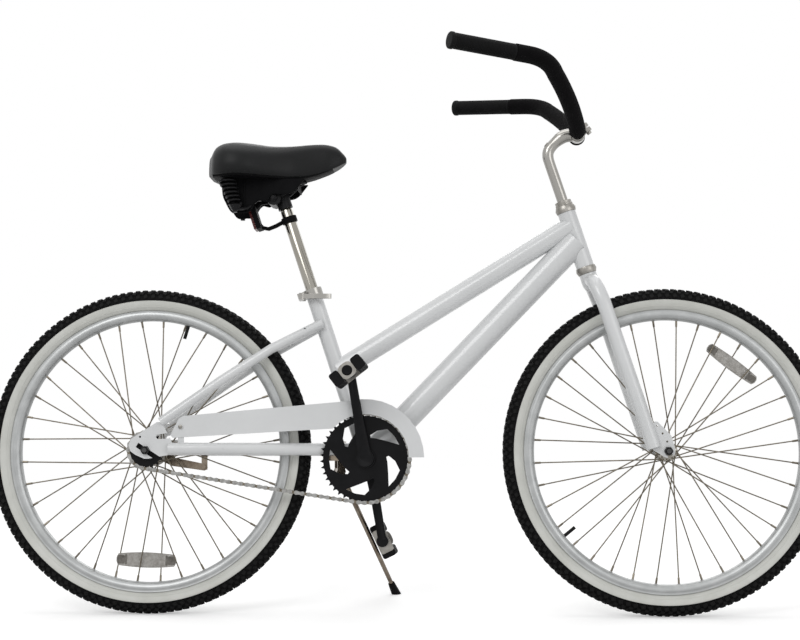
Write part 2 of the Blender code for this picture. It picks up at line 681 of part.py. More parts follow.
# Wheels
def wheel(name, centre, flange_r, flange_y, hub_profile, valve_angle, reflector_angle):
    """One wheel about its axle: tyre, inner tube, rim, spokes, hub shell and reflector."""
    flat = 1 / math.cos(math.pi / WHEEL_SEGMENTS)
    first = math.pi / WHEEL_SEGMENTS - math.pi / 2
    section_r = TYRE_R - TYRE_SECTION_R

    def on_section(radius, angle):
        return (section_r + radius * math.cos(angle), radius * math.sin(angle))

    inside = TYRE_SECTION_R - TYRE_WALL
    seat = RIM_HALF_WIDTH - RIM_LIP - GAP
    well = RIM_INNER_R + RIM_FLOOR
    bead = seat - RIM_TAPER * (RIM_OUTER_R - BEAD_R) / (RIM_OUTER_R - well)
    half = [on_section(TYRE_SECTION_R, 2 * LEAN), on_section(TYRE_SECTION_R, math.radians(58)),
            on_section(TYRE_SECTION_R, math.radians(103)), (RIM_OUTER_R + GAP, seat), (BEAD_R + GAP, bead),
            (BEAD_R + GAP, bead - TYRE_WALL), on_section(inside, math.radians(80)),
            on_section(inside, math.radians(26))]
    profile = [(TYRE_R, 0)] + half + [(r, -h) for r, h in reversed(half)]
    finish(name + "_tyre", revolve(new(), profile, centre, Y, WHEEL_SEGMENTS, first, flat, X), "rubber", centre)

    lip = RIM_HALF_WIDTH - RIM_LIP
    half = [(RIM_INNER_R, 7 * MM), (RIM_INNER_R + 8 * MM, RIM_HALF_WIDTH), (RIM_OUTER_R, RIM_HALF_WIDTH),
            (RIM_OUTER_R, lip), (well, lip - RIM_TAPER)]
    profile = half + [(r, -h) for r, h in reversed(half)]
    rim = finish(name + "_rim", revolve(new(), profile, centre, Y, WHEEL_SEGMENTS, first, flat, X),
                 "alloy", centre)
    valve_way = X * math.cos(valve_angle) + Z * math.sin(valve_angle)
    hole = rod(new(), centre + valve_way * (RIM_INNER_R - 10 * MM), centre + valve_way * BEAD_R,
               VALVE_D / 2 + GAP, 8)
    cut(rim, tool(name + "_valve_hole", hole))

    tube_middle = TYRE_R - TYRE_WALL - 2.2 * MM - TUBE_R
    shells = []
    for radius in (TUBE_R, TUBE_R - TUBE_WALL):
        ring = [(tube_middle + radius * math.cos(math.radians(72 * k + 36)),
                 radius * math.sin(math.radians(72 * k + 36))) for k in range(5)]
        shells.append(revolve(new(), ring, centre, Y, 14, 0, 1.0, X))
    inner_tube = finish(name + "_inner_tube", shells[0], "rubber", centre)
    stem_top = centre + valve_way * (tube_middle - TUBE_R + TUBE_WALL + 4 * MM)
    stem = rod(new(), centre + valve_way * VALVE_TIP_R, stem_top, VALVE_D / 2, 8)
    bore = rod(new(), centre + valve_way * (VALVE_TIP_R - 2 * MM), centre + valve_way * tube_middle, 1.5 * MM, 6)
    join(inner_tube, tool(name + "_valve_stem", stem))
    cut(inner_tube, tool(name + "_tube_air", shells[1]), tool(name + "_valve_bore", bore))

    end_r = RIM_INNER_R - GAP
    hub_r = flange_r + SPOKE_D * 0.55 + GAP
    pitch = 2 * math.pi / SPOKES_PER_SIDE
    for hand, side in (("right", -1), ("left", 1)):
        sets = []
        for turn, lift in ((1, SPOKE_D * 0.645), (-1, -SPOKE_D * 0.645)):
            bars = new()
            for index in range(SPOKES_PER_SIDE // 2):
                at_rim = pitch * (2 * index + (0 if turn > 0 else 1)) + (0.25 + 0.5 * (side > 0)) * pitch
                at_hub = at_rim - turn * math.radians(60)
                ends = []
                for radius, angle, height in ((hub_r, at_hub, side * flange_y + lift),
                                              (end_r, at_rim, side * 2.2 * MM - lift)):
                    way = X * math.cos(angle) + Z * math.sin(angle)
                    ends.append(centre + way * radius + Y * height)
                run = (ends[1] - ends[0]).normalized()
                inward = (Y * -lift - run * run.dot(Y * -lift)).normalized()
                flat_way = run.cross(inward)
                rings = []
                for end in ends:
                    rings.append([bars.verts.new(end + way * SPOKE_D * 0.6) for way in
                                  (inward, flat_way * 0.87 - inward * 0.5, -flat_way * 0.87 - inward * 0.5)])
                skin(bars, rings)
                bars.faces.new(rings[0][::-1])
                bars.faces.new(rings[1])
            sets.append(bars)
        spokes = finish(name + "_spokes_" + hand, sets[0], "steel", centre)
        join(spokes, tool(name + "_trailing_" + hand, sets[1]))

    finish(name + "_hub", revolve(new(), hub_profile, centre, Y, 14), "steel", centre)

    out = X * math.cos(reflector_angle) + Z * math.sin(reflector_angle)
    along = out.cross(Y)
    plate = hull([(a * (REFLECTOR_LENGTH / 2 - 5 * MM), b * (REFLECTOR_HEIGHT / 2 - 5 * MM), 5 * MM)
                  for a in (-1, 1) for b in (-1, 1)], 4)
    finish(name + "_spoke_reflector", slab(new(), plate, centre + out * REFLECTOR_R, along, out,
                                           -REFLECTOR_THICK / 2, REFLECTOR_THICK / 2), "clear", centre)


half = [(axle_bore, -(FRONT_SPACING / 2 - 3 * MM)), (9 * MM, -(FRONT_FLANGE_Y + FLANGE_THICK)),
        (FRONT_FLANGE_R, -(FRONT_FLANGE_Y + FLANGE_THICK / 2)),
        (FRONT_FLANGE_R, -(FRONT_FLANGE_Y - FLANGE_THICK / 2)), (9 * MM, -(FRONT_FLANGE_Y - FLANGE_THICK / 2))]
front_hub_profile = half + [(r, -h) for r, h in reversed(half)]
brake_gap = REAR_FLANGE_Y + 8 * MM
rear_hub_profile = [(axle_bore, hub_right), (23 * MM, hub_right),
                    (REAR_FLANGE_R, -(REAR_FLANGE_Y + FLANGE_THICK / 2)),
                    (REAR_FLANGE_R, -(REAR_FLANGE_Y - FLANGE_THICK / 2)),
                    (22 * MM, -(REAR_FLANGE_Y - 5 * MM)), (22 * MM, REAR_FLANGE_Y - 5 * MM),
                    (REAR_FLANGE_R, REAR_FLANGE_Y - FLANGE_THICK / 2),
                    (REAR_FLANGE_R, REAR_FLANGE_Y + FLANGE_THICK / 2), (24 * MM, brake_gap),
                    (axle_bore, brake_gap)]
wheel("front", FRONT_AXLE, FRONT_FLANGE_R, FRONT_FLANGE_Y, front_hub_profile,
      math.radians(219.6), math.radians(52.9))
wheel("rear", REAR_AXLE, REAR_FLANGE_R, REAR_FLANGE_Y, rear_hub_profile,
      math.radians(73.8), math.radians(268.5))

# Axles and their nuts
for name, centre, spacing, plate in (("front", FRONT_AXLE, FRONT_SPACING, FORK_END_PLATE),
                                     ("rear", REAR_AXLE, REAR_SPACING, DROPOUT_PLATE)):
    face = spacing / 2 + plate + GAP
    tip = face + NUT_THICK + AXLE_STUB
    finish(name + "_axle", rod(new(), centre - Y * tip, centre + Y * tip, AXLE_D / 2, 12), "steel", centre)
    for hand, side in (("right", -1), ("left", 1)):
        nut_r = NUT_ACROSS / 2 / math.cos(math.pi / 6)
        thread_r = (AXLE_D / 2 + GAP) / math.cos(math.pi / 6)
        nut = revolve(new(), [(thread_r, 0), (nut_r + 1 * MM, 0), (nut_r, NUT_THICK), (thread_r, NUT_THICK)],
                      centre + Y * (side * face), Y * side, 6, 0, 1.0, X)
        finish(name + "_axle_nut_" + hand, nut, "black_metal", centre)

# Coaster brake cover and arm, with the clip round the left chain stay
arm_y = REAR_SPACING / 2 - GAP
cover = finish("coaster_brake_arm", revolve(new(), [
    (axle_bore, brake_gap + GAP), (26 * MM, brake_gap + GAP), (26 * MM, brake_gap + 6 * MM),
    (12 * MM, arm_y - 1 * MM), (axle_bore, arm_y - 1 * MM)], REAR_AXLE, Y, 16), "steel")
arm_knee = (38 * MM, -22 * MM, 9 * MM)
arm_end = Vector((102 * MM, 0, -33 * MM))
arm_hole = rod(new(), REAR_AXLE + Y * (arm_y - 6 * MM), REAR_AXLE + Y * 70 * MM, axle_bore + 0.2 * MM, 14)
arm = slab(new(), hull([(0, 0, 13 * MM), arm_knee]), Y * (arm_y - 3 * MM), X, Z, -3 * MM, 0)
arm_tail = slab(new(), hull([arm_knee, (arm_end.x, arm_end.z, 7 * MM)], 8), Y * (arm_y - 3.2 * MM), X, Z,
                -2.6 * MM, 0)
leg_start, leg_end = stay_route(1)[:2]
stay_way = (leg_end - leg_start).normalized()
clip = leg_start + stay_way * (arm_end.x - STAY_START)
strap = rod(new(), clip - stay_way * 7 * MM, clip + stay_way * 7 * MM, STAY_D / 2 + GAP + 1.5 * MM, ROUND,
            bore=STAY_D / 2 + GAP)
hanger_low = arm_end.z - 5 * MM
hanger_high = STAY_RISE - STAY_D / 2 - GAP - 0.7 * MM
hanger = block(new(), Vector((clip.x, clip.y, (hanger_low + hanger_high) / 2)), X, Z,
               (12 * MM, hanger_high - hanger_low, 4 * MM))
bolt = rod(new(), Vector((clip.x, arm_y - 9 * MM, arm_end.z)), Vector((clip.x, clip.y + 6 * MM, arm_end.z)),
           4 * MM, 8)
join(cover, tool("brake_arm", arm), tool("brake_arm_tail", arm_tail), tool("clip_strap", strap), tool("clip_hanger", hanger),
     tool("clip_bolt", bolt))
cut(cover, tool("brake_arm_hole", arm_hole))


# Crank, one forging with its spindle and the pedal axles. The ring sits between a collar and a nut.
def crank_way(side):
    """Where an arm points: the right one at the crank's angle, the left one opposite."""
    return (X * math.cos(CRANK_ANGLE) + Z * math.sin(CRANK_ANGLE)) * (1 if side < 0 else -1)


ring_out = CHAIN_LINE + TOOTH_THICK / 2 + GAP
ring_in = CHAIN_LINE - TOOTH_THICK / 2 - GAP
crank = finish("crank", revolve(new(), [
    (0, -ARM_ROOT_Y + 1 * MM), (20 * MM, -ARM_ROOT_Y + 1 * MM), (20 * MM, -ring_out), (SPINDLE_D / 2, -ring_out),
    (SPINDLE_D / 2, -ring_in), (18 * MM, -ring_in), (18 * MM, -ring_in + 4 * MM),
    (SPINDLE_D / 2, -ring_in + 4 * MM), (SPINDLE_D / 2, ARM_ROOT_Y), (0, ARM_ROOT_Y)],
    CRANK, Y, 14), "black_metal", CRANK)
for hand, side in (("right", -1), ("left", 1)):
    way = crank_way(side)
    square = way.cross(Y)
    arm = new()
    rings = []
    for reach_out, middle_y, width in ((0, ARM_ROOT_Y, 26 * MM), (CRANK_LENGTH * 0.45, 0, 19 * MM),
                                       (CRANK_LENGTH, ARM_END_Y, 17 * MM)):
        if not middle_y:
            middle_y = ARM_ROOT_Y + (ARM_END_Y - ARM_ROOT_Y) * 0.45
        middle = CRANK + way * reach_out + Y * (side * middle_y)
        rings.append([arm.verts.new(middle + square * (a * width / 2) + Y * (b * ARM_THICK / 2))
                      for a, b in ((-1, -0.6), (-0.7, -1), (0.7, -1), (1, -0.6),
                                   (1, 0.6), (0.7, 1), (-0.7, 1), (-1, 0.6))])
    skin(arm, rings)
    arm.faces.new(rings[0][::-1])
    arm.faces.new(rings[-1])
    root = CRANK + Y * (side * ARM_ROOT_Y)
    eye = CRANK + way * CRANK_LENGTH + Y * (side * ARM_END_Y)
    boss = rod(new(), root - Y * (ARM_THICK / 2 - 0.2 * MM), root + Y * (ARM_THICK / 2 - 0.2 * MM), 17 * MM, 14)
    end_boss = rod(new(), eye - Y * (ARM_THICK / 2 + 0.3 * MM), eye + Y * (ARM_THICK / 2 + 0.3 * MM), 12.5 * MM, 14,
                   spin=TURN)
    pedal_axle = rod(new(), eye, eye + Y * (side * (ARM_THICK / 2 + PEDAL_WIDTH - 4 * MM)), PEDAL_AXLE_D / 2, 8)
    join(crank, tool("arm_" + hand, arm), tool("arm_root_" + hand, boss), tool("arm_eye_" + hand, end_boss),
         tool("pedal_axle_" + hand, pedal_axle))

# Pedals: two rubber blocks between end plates, beside a barrel that turns on the axle
for hand, side, tilt in (("right", -1, RIGHT_PEDAL_TILT), ("left", 1, LEFT_PEDAL_TILT)):
    eye = CRANK + crank_way(side) * CRANK_LENGTH + Y * (side * (ARM_END_Y + ARM_THICK / 2))
    fore = X * math.cos(tilt) + Z * math.sin(tilt)
    rise = fore.cross(-Y)
    start = eye + Y * (side * PEDAL_GAP)
    middle = start + Y * (side * PEDAL_WIDTH / 2)
    corners = hull([(a * (PEDAL_LENGTH / 2 - 4 * MM), b * (BLOCK_HEIGHT / 2 - 4 * MM), 4 * MM)
                    for a in (-1, 1) for b in (-1, 1)], 8)
    pedal = finish("pedal_" + hand, slab(new(), corners, middle, fore, rise, -PEDAL_WIDTH / 2, PEDAL_WIDTH / 2),
                   "black_plastic", eye)
    window = block(new(), middle, fore, rise, (PEDAL_LENGTH - 2 * BLOCK_LENGTH, BLOCK_HEIGHT + 4 * MM,
                                               PEDAL_WIDTH - 2 * PEDAL_PLATE))
    barrel = rod(new(), start + Y * (side * PEDAL_PLATE / 2), start + Y * (side * (PEDAL_WIDTH - PEDAL_PLATE / 2)),
                 PEDAL_BARREL_D / 2, 10, spin=TURN)
    cap = rod(new(), start + Y * (side * (PEDAL_WIDTH - 2 * MM)), start + Y * (side * (PEDAL_WIDTH + 4 * MM)),
              10.6 * MM, 8, 8.5 * MM)
    hole = rod(new(), start - Y * (side * 2 * MM), start + Y * (side * (PEDAL_WIDTH - 5 * MM)),
               PEDAL_AXLE_D / 2 + GAP + 0.3 * MM, 8)
    cut(pedal, tool("pedal_window_" + hand, window))
    join(pedal, tool("pedal_barrel_" + hand, barrel), tool("pedal_cap_" + hand, cap))
    cut(pedal, tool("pedal_hole_" + hand, hole))

# Headset
cup_bore = STEERER_D / 2 + 0.4 * MM
cup_skirt = HEAD_TUBE_D / 2 - HEAD_TUBE_WALL - GAP
for name, way in (("headset_upper_cup", 1), ("headset_lower_cup", -1)):
    base = HEAD_HALF + GAP
    profile = [(cup_bore, -8 * MM), (cup_skirt, -8 * MM), (cup_skirt, 0), (HEAD_TUBE_D / 2 + 1.5 * MM, 0),
               (CUP_D / 2, CUP_HEIGHT * 0.5), (CUP_D / 2 - 3 * MM, CUP_HEIGHT), (cup_bore, CUP_HEIGHT)]
    finish(name, revolve(new(), profile, steer_point(0, 0, way * base), STEER_UP * way, 14), "chrome")
locknut_base = HEAD_HALF + 2 * GAP + CUP_HEIGHT
finish("headset_locknut", revolve(new(), [
    (cup_bore, 0), (LOCKNUT_D / 2 + 1 * MM, 0), (LOCKNUT_D / 2 + 1 * MM, 2.5 * MM), (LOCKNUT_D / 2, 3.5 * MM),
    (LOCKNUT_D / 2, LOCKNUT_HEIGHT - 1 * MM), (LOCKNUT_D / 2 - 2 * MM, LOCKNUT_HEIGHT), (cup_bore, LOCKNUT_HEIGHT)],
    steer_point(0, 0, locknut_base), STEER_UP, 14), "chrome", steer_point(0, 0, locknut_base))

# Fork: steerer, crown and blades in one piece, then the bores, then the end plates
steerer_top = locknut_base + LOCKNUT_HEIGHT - 1 * MM
crown_top = -(HEAD_HALF + CUP_HEIGHT + 2 * GAP)
blade_end = AXLE_BELOW_HEAD + BLADE_END
fork_end_y = FRONT_SPACING / 2 + FORK_END_PLATE / 2
fork = finish("fork", revolve(new(), [
    (0, crown_top - 30 * MM), (15 * MM, crown_top - 30 * MM), (17.5 * MM, crown_top - 22 * MM),
    (17.5 * MM, crown_top), (STEERER_D / 2, crown_top), (STEERER_D / 2, steerer_top), (0, steerer_top)],
    HEAD_MIDDLE, STEER_UP, 14, TURN), "white", steer_point(0, 0, 0))
BLADE_LEAD = (STEER_AHEAD + STEER_UP * 0.1).normalized()
blade_routes = []
for hand, side in (("right", -1), ("left", 1)):
    knee = [steer_point(0, side * 5 * MM, crown_top - 15 * MM),
            steer_point(2 * MM, side * 22 * MM, crown_top - 18 * MM),
            steer_point(4 * MM, side * 35 * MM, crown_top - 26 * MM),
            steer_point(6 * MM, side * 44 * MM, crown_top - 42 * MM),
            steer_point(BLADE_AHEAD, side * 48 * MM, crown_top - 70 * MM)]
    route = knee + [steer_point(BLADE_AHEAD, side * fork_end_y, blade_end)]
    blade_routes.append(route)
    join(fork, tool("blade_" + hand, sweep(new(), route, [BLADE_D * 0.42] + [BLADE_D / 2] * 5,
                                             10, lead=BLADE_LEAD)))
bores = new()
for route in blade_routes:
    low = route[-1] + (route[-1] - route[-2]).normalized() * 2 * MM
    sweep(bores, [route[-2], low], BLADE_D / 2 - BLADE_WALL, 10)
rod(bores, steer_point(0, 0, -HEAD_HALF * 0.9), steer_point(0, 0, steerer_top + 5 * MM), QUILL_D / 2 + GAP, 14)
cut(fork, tool("fork_bores", bores))
for hand, side in (("right", -1), ("left", 1)):
    low = AXLE_BELOW_HEAD
    outline = hull([(FORK_RAKE, low, 14 * MM), (FORK_RAKE + 3 * MM, low + 27 * MM, 12 * MM),
                    (FORK_RAKE - 6 * MM, low + 58 * MM, 6 * MM), (BLADE_AHEAD + 3 * MM, low + 17 * MM, 8 * MM),
                    (BLADE_AHEAD + 3 * MM, low + 45 * MM, 8 * MM)], 8)
    place = HEAD_MIDDLE + Y * (side * fork_end_y)
    plate = slab(new(), outline, place, STEER_AHEAD, STEER_UP, -FORK_END_PLATE / 2, FORK_END_PLATE / 2)
    join(fork, tool("fork_end_" + hand, plate))
fork_slots = new()
for side in (-1, 1):
    place = HEAD_MIDDLE + Y * (side * fork_end_y)
    mouth = [(FORK_RAKE - slot_half, AXLE_BELOW_HEAD - 30 * MM), (FORK_RAKE + slot_half, AXLE_BELOW_HEAD - 30 * MM),
             (FORK_RAKE + slot_half, AXLE_BELOW_HEAD + slot_half),
             (FORK_RAKE - slot_half, AXLE_BELOW_HEAD + slot_half)]
    slab(fork_slots, mouth, place, STEER_AHEAD, STEER_UP, -FORK_END_PLATE, FORK_END_PLATE)
    for ahead, up in ((3.5, 19), (0, 37), (-5, 55)):
        hole = steer_point(FORK_RAKE + ahead * MM, side * fork_end_y, AXLE_BELOW_HEAD + up * MM)
        rod(fork_slots, hole - Y * FORK_END_PLATE, hole + Y * FORK_END_PLATE, 2.3 * MM, 6)
cut(fork, tool("fork_slots", fork_slots))

# Stem with its clamp bolt
steer_origin = steer_point(0, 0, 0)
clamp_middle = steer_point(STEM_REACH, 0, STEM_CLAMP_UP)
neck = [steer_point(0, 0, QUILL_BOTTOM), steer_point(0, 0, STEM_RISE - 34 * MM),
        steer_point(0.5 * MM, 0, STEM_RISE - 18 * MM), steer_point(4 * MM, 0, STEM_RISE),
        steer_point(16 * MM, 0, STEM_RISE + 17 * MM), steer_point(38 * MM, 0, STEM_RISE + 30 * MM), clamp_middle]
neck_r = [QUILL_D / 2 + swell * MM for swell in (0, 0, 1, 3.5, 3.5, 2, -1)]
stem = finish("stem", sweep(new(), neck, neck_r, ROUND), "alloy", steer_origin)
clamp_half = Y * (STEM_CLAMP_WIDTH / 2)
barrel = rod(new(), clamp_middle - clamp_half, clamp_middle + clamp_half, STEM_CLAMP_D / 2, 16)
ear_way = (X * 0.78 + Z * 0.62).normalized()
ear_middle = clamp_middle + ear_way * (STEM_CLAMP_D / 2 + 5 * MM)
ears = block(new(), ear_middle, ear_way, Y, (16 * MM, 20 * MM, 18 * MM))
ear_up = ear_way.cross(Y)
stem_bolt = rod(new(), ear_middle - ear_up * 14 * MM, ear_middle + ear_up * 14 * MM, 5 * MM, 6)
bar_hole = rod(new(), clamp_middle - clamp_half * 1.2, clamp_middle + clamp_half * 1.2, BAR_D / 2 + GAP, 16)
join(stem, tool("stem_barrel", barrel), tool("stem_ears", ears), tool("stem_bolt", stem_bolt))
cut(stem, tool("bar_hole", bar_hole))


# Handlebar, its foam sleeves and its grips
def bar_route(side):
    """The bar's centre line from the middle of the clamp out to one end."""
    flip = Matrix.Diagonal((1, side, 1))
    bend = flip @ BAR_BEND
    end = flip @ BAR_END
    out = clamp_middle + Y * (side * BAR_STRAIGHT)
    made = [clamp_middle.copy(), clamp_middle + Y * (side * BAR_STRAIGHT * 0.85)]
    rise = (bend - out).normalized()
    back = (end - bend).normalized()
    before = bend - rise * BAR_BEND_RADIUS
    control = (out + before) / 2 + X * 2 * BAR_BULGE
    for t in (0.12, 0.4, 0.7):
        made.append(out * (1 - t) ** 2 + control * 2 * t * (1 - t) + before * t ** 2)
    after = bend + back * BAR_BEND_RADIUS
    steps = 3
    for step in range(steps + 1):
        t = step / steps
        made.append(before * (1 - t) ** 2 + bend * 2 * t * (1 - t) + after * t ** 2)
    made.append(end)
    return made


def part_of(route, start, end):
    """The stretch of a route between two distances along it."""
    made = []
    gone = 0.0
    for index in range(len(route) - 1):
        low, high = route[index], route[index + 1]
        length = (high - low).length
        for at in (start, end):
            if gone <= at < gone + length and (at == start or made):
                made.append(low + (high - low) * ((at - gone) / length))
        if start < gone + length < end:
            made.append(high.copy())
        gone += length
    return made


right_route = bar_route(-1)
left_route = bar_route(1)
bar = sweep(new(), right_route[::-1] + left_route[1:], BAR_D / 2, 10, BAR_D / 2 - 2 * MM)
finish("handlebar", bar, "black_metal", steer_origin)
bar_length = sum((b - a).length for a, b in zip(left_route, left_route[1:]))
foam_start = STEM_CLAMP_WIDTH / 2 + 12 * MM
grip_start = bar_length - GRIP_LENGTH
sleeve_bore = BAR_D / 2 + 2 * GAP
for hand, route in (("right", right_route), ("left", left_route)):
    sleeve = part_of(route, foam_start, grip_start - GAP)
    finish("foam_sleeve_" + hand, sweep(new(), sleeve, FOAM_D / 2, 10, sleeve_bore), "foam", steer_origin)
    start = part_of(route, grip_start, bar_length - 1e-6)[0]
    way = (route[-1] - route[-2]).normalized()
    over = GRIP_LENGTH + 4 * MM
    profile = [(sleeve_bore, 0), (GRIP_D / 2 - 0.5 * MM, 0), (GRIP_D / 2 - 0.5 * MM, over - 8 * MM),
               (GRIP_D / 2 + 1 * MM, over - 5 * MM), (GRIP_D / 2, over - 1 * MM), (GRIP_D / 2 - 3 * MM, over)]
    bm = new()
    one, two = across(way)
    rings = []
    for radius, height in profile + [(0, over), (0, over - 4 * MM + GAP), (sleeve_bore, over - 4 * MM + GAP)]:
        centre = start + way * height
        if radius == 0:
            rings.append([bm.verts.new(centre)])
            continue
        rings.append([bm.verts.new(centre + (one * math.cos(2 * math.pi * k / 10)
                                             + two * math.sin(2 * math.pi * k / 10)) * radius)
                      for k in range(10)])
    skin(bm, rings[:7])
    skin(bm, rings[7:] + [rings[0]])
    finish("grip_" + hand, bm, "rubber", steer_origin)

# Seat clamp with its bolt, and its quick lever
collar_low = SEAT_TUBE_LENGTH - COLLAR_HEIGHT + 3 * MM
collar = finish("seat_clamp", rod(new(), seat_point(0, 0, collar_low), seat_point(0, 0, collar_low + COLLAR_HEIGHT),
                                  COLLAR_D / 2, 16), "alloy")
ears = block(new(), seat_point(-COLLAR_D / 2 - 4 * MM, 0, collar_low + COLLAR_HEIGHT / 2), SEAT_AHEAD, Y,
             (16 * MM, 24 * MM, 14 * MM))
skewer_x = -COLLAR_D / 2 - 3 * MM
skewer_up = collar_low + COLLAR_HEIGHT / 2 - 2 * MM
lever_pivot = seat_point(skewer_x, -22 * MM, skewer_up)
skewer = rod(new(), seat_point(skewer_x, -15 * MM, skewer_up), seat_point(skewer_x, 18 * MM, skewer_up), 3 * MM, 10)
skewer_nut = rod(new(), seat_point(skewer_x, 11 * MM, skewer_up), seat_point(skewer_x, 19 * MM, skewer_up), 7 * MM, 6)
clamp_slit = block(new(), seat_point(-COLLAR_D / 2 - 4 * MM, 0, skewer_up), SEAT_AHEAD, Y,
                   (30 * MM, 2 * MM, 30 * MM))
join(collar, tool("clamp_ears", ears))
cut(collar, tool("clamp_slit", clamp_slit))
join(collar, tool("skewer", skewer), tool("skewer_nut", skewer_nut))
clamp_hole = revolve(new(), [(0, collar_low - 5 * MM), (SEAT_TUBE_D / 2 + GAP, collar_low - 5 * MM),
                             (SEAT_TUBE_D / 2 + GAP, SEAT_TUBE_LENGTH + GAP),
                             (post_bore, SEAT_TUBE_LENGTH + GAP), (post_bore, SEAT_TUBE_LENGTH + 10 * MM),
                             (0, SEAT_TUBE_LENGTH + 10 * MM)], CRANK, SEAT_UP, 16)
cut(collar, tool("clamp_hole", clamp_hole))

lever = finish("seat_clamp_lever", rod(new(), lever_pivot - Z * 7 * MM, lever_pivot + Z * 7 * MM, 6.5 * MM, 16),
               "alloy", lever_pivot)
handle = slab(new(), hull([(0, 0, 5 * MM), (26 * MM, -7 * MM, 4 * MM)], 10), lever_pivot, X, Y, -5 * MM, 5 * MM)
handle_tip = slab(new(), hull([(26 * MM, -7 * MM, 4 * MM), (57 * MM, -5 * MM, 3.5 * MM)], 10), lever_pivot, X, Y,
                  -5 * MM, 5 * MM)
join(lever, tool("lever_handle", handle), tool("lever_tip", handle_tip))

# Seat post, saddle clamp and rear reflector
post_top = SEAT_TUBE_LENGTH + POST_SHOWN + POST_NECK
post_low = post_top - POST_LENGTH
post_shoulder = post_top - POST_NECK
post_r = SEAT_POST_D / 2
seat_post = finish("seat_post", revolve(new(), [
    (post_r - POST_WALL, 0), (post_r, 0), (post_r, post_shoulder - post_low - 2 * MM),
    (POST_NECK_D / 2, post_shoulder - post_low + 1 * MM), (POST_NECK_D / 2, post_top - post_low),
    (POST_NECK_D / 2 - POST_WALL, post_top - post_low), (POST_NECK_D / 2 - POST_WALL, post_shoulder - post_low - 4 * MM),
    (post_r - POST_WALL, post_shoulder - post_low - 8 * MM)],
    seat_point(0, 0, post_low), SEAT_UP, 16), "chrome", seat_point(0, 0, SEAT_TUBE_LENGTH))

neck_bore = POST_NECK_D / 2 + GAP
sleeve_low = post_shoulder + 3 * MM
saddle_clamp = finish("saddle_clamp", rod(new(), seat_point(0, 0, sleeve_low), seat_point(0, 0, post_top),
                                          POST_NECK_D / 2 + 4 * MM, 16), "black_metal",
                      seat_point(0, 0, SEAT_TUBE_LENGTH))
block_half = 16 * MM
body = rod(new(), CLAMP_PIVOT - Y * block_half, CLAMP_PIVOT + Y * block_half, CLAMP_DISC_D / 2, 12)
cross_half = RAIL_SIDE + 16 * MM
cross_bolt = rod(new(), CLAMP_PIVOT - Y * cross_half, CLAMP_PIVOT + Y * cross_half, CLAMP_BOLT_D / 2, 8)
join(saddle_clamp, tool("clamp_body", body), tool("clamp_bolt", cross_bolt))
for side in (-1, 1):
    head = rod(new(), CLAMP_PIVOT + Y * (side * (RAIL_SIDE + 5.5 * MM + 2 * GAP)),
               CLAMP_PIVOT + Y * (side * (RAIL_SIDE + 12 * MM)), 7 * MM, 6)
    join(saddle_clamp, tool("clamp_nut_" + ("left" if side > 0 else "right"), head))
cut(saddle_clamp, tool("neck_hole", rod(new(), seat_point(0, 0, sleeve_low - 5 * MM),
                                        seat_point(0, 0, post_top + 30 * MM), neck_bore, 16)))

band_up = post_shoulder - 21 * MM
band_low = seat_point(0, 0, band_up - 6 * MM)
band_high = seat_point(0, 0, band_up + 6 * MM)
reflector_at = seat_point(-63 * MM, 0, band_up + 24 * MM)
bracket = finish("reflector_bracket", rod(new(), band_low, band_high, post_r + GAP + 3 * MM, 16), "black_plastic",
                 seat_point(0, 0, SEAT_TUBE_LENGTH))
arm_route = [seat_point(-post_r - 1 * MM, 0, band_up), seat_point(-30 * MM, 0, band_up - 3 * MM),
             seat_point(-46 * MM, 0, band_up - 4 * MM), seat_point(-56 * MM, 0, band_up + 1.5 * MM),
             seat_point(-61 * MM, 0, band_up + 10 * MM)]
join(bracket, tool("reflector_arm", sweep(new(), arm_route, 4.5 * MM, 6)))
housing = block(new(), reflector_at, SEAT_AHEAD, Y, (10 * MM, 46 * MM, 48 * MM))
join(bracket, tool("reflector_housing", housing))
cut(bracket, tool("bracket_hole", rod(new(), seat_point(0, 0, band_up - 12 * MM), seat_point(0, 0, band_up + 12 * MM),
                                      post_r + GAP, 16)))
lens_at = reflector_at - SEAT_AHEAD * (5 * MM + GAP + 2.5 * MM)
finish("rear_reflector", block(new(), lens_at, SEAT_AHEAD, Y, (5 * MM, 43 * MM, 45 * MM)), "red",
       seat_point(0, 0, SEAT_TUBE_LENGTH))


# Saddle: a padded cover on a base, carried by a bent rail and two coil springs
def saddle_width(t):
    """Half the saddle's width at a share t of its length from the rear."""
    marks = ((0.0, 0.6), (0.08, 0.88), (0.2, 1.0), (0.32, 0.93), (0.46, 0.62), (0.6, 0.38), (0.78, 0.29),
             (0.92, 0.25), (1.0, 0.12))
    for (a, low), (b, high) in zip(marks, marks[1:]):
        if t <= b:
            share = (t - a) / (b - a)
            share = share * share * (3 - 2 * share)
            return (low + (high - low) * share) * SADDLE_WIDTH / 2
    return marks[-1][1] * SADDLE_WIDTH / 2


def saddle_top(t):
    marks = ((0.0, -40), (0.03, -20), (0.09, -8), (0.2, -5), (0.33, -8), (0.46, -12), (0.6, -10), (0.75, -6),
             (0.86, -7), (0.95, -17), (1.0, -36))
    for (a, low), (b, high) in zip(marks, marks[1:]):
        if t <= b:
            return SADDLE_TOP_Z + (low + (high - low) * (t - a) / (b - a)) * MM
    return SADDLE_TOP_Z + marks[-1][1] * MM


def saddle_bottom(t):
    marks = ((0.0, 3), (0.06, -1), (0.15, 0), (0.5, 0), (0.62, 4), (0.75, 13), (0.9, 28), (1.0, 42))
    for (a, low), (b, high) in zip(marks, marks[1:]):
        if t <= b:
            return SADDLE_BOTTOM_Z + (low + (high - low) * (t - a) / (b - a)) * MM
    return SADDLE_BOTTOM_Z + marks[-1][1] * MM


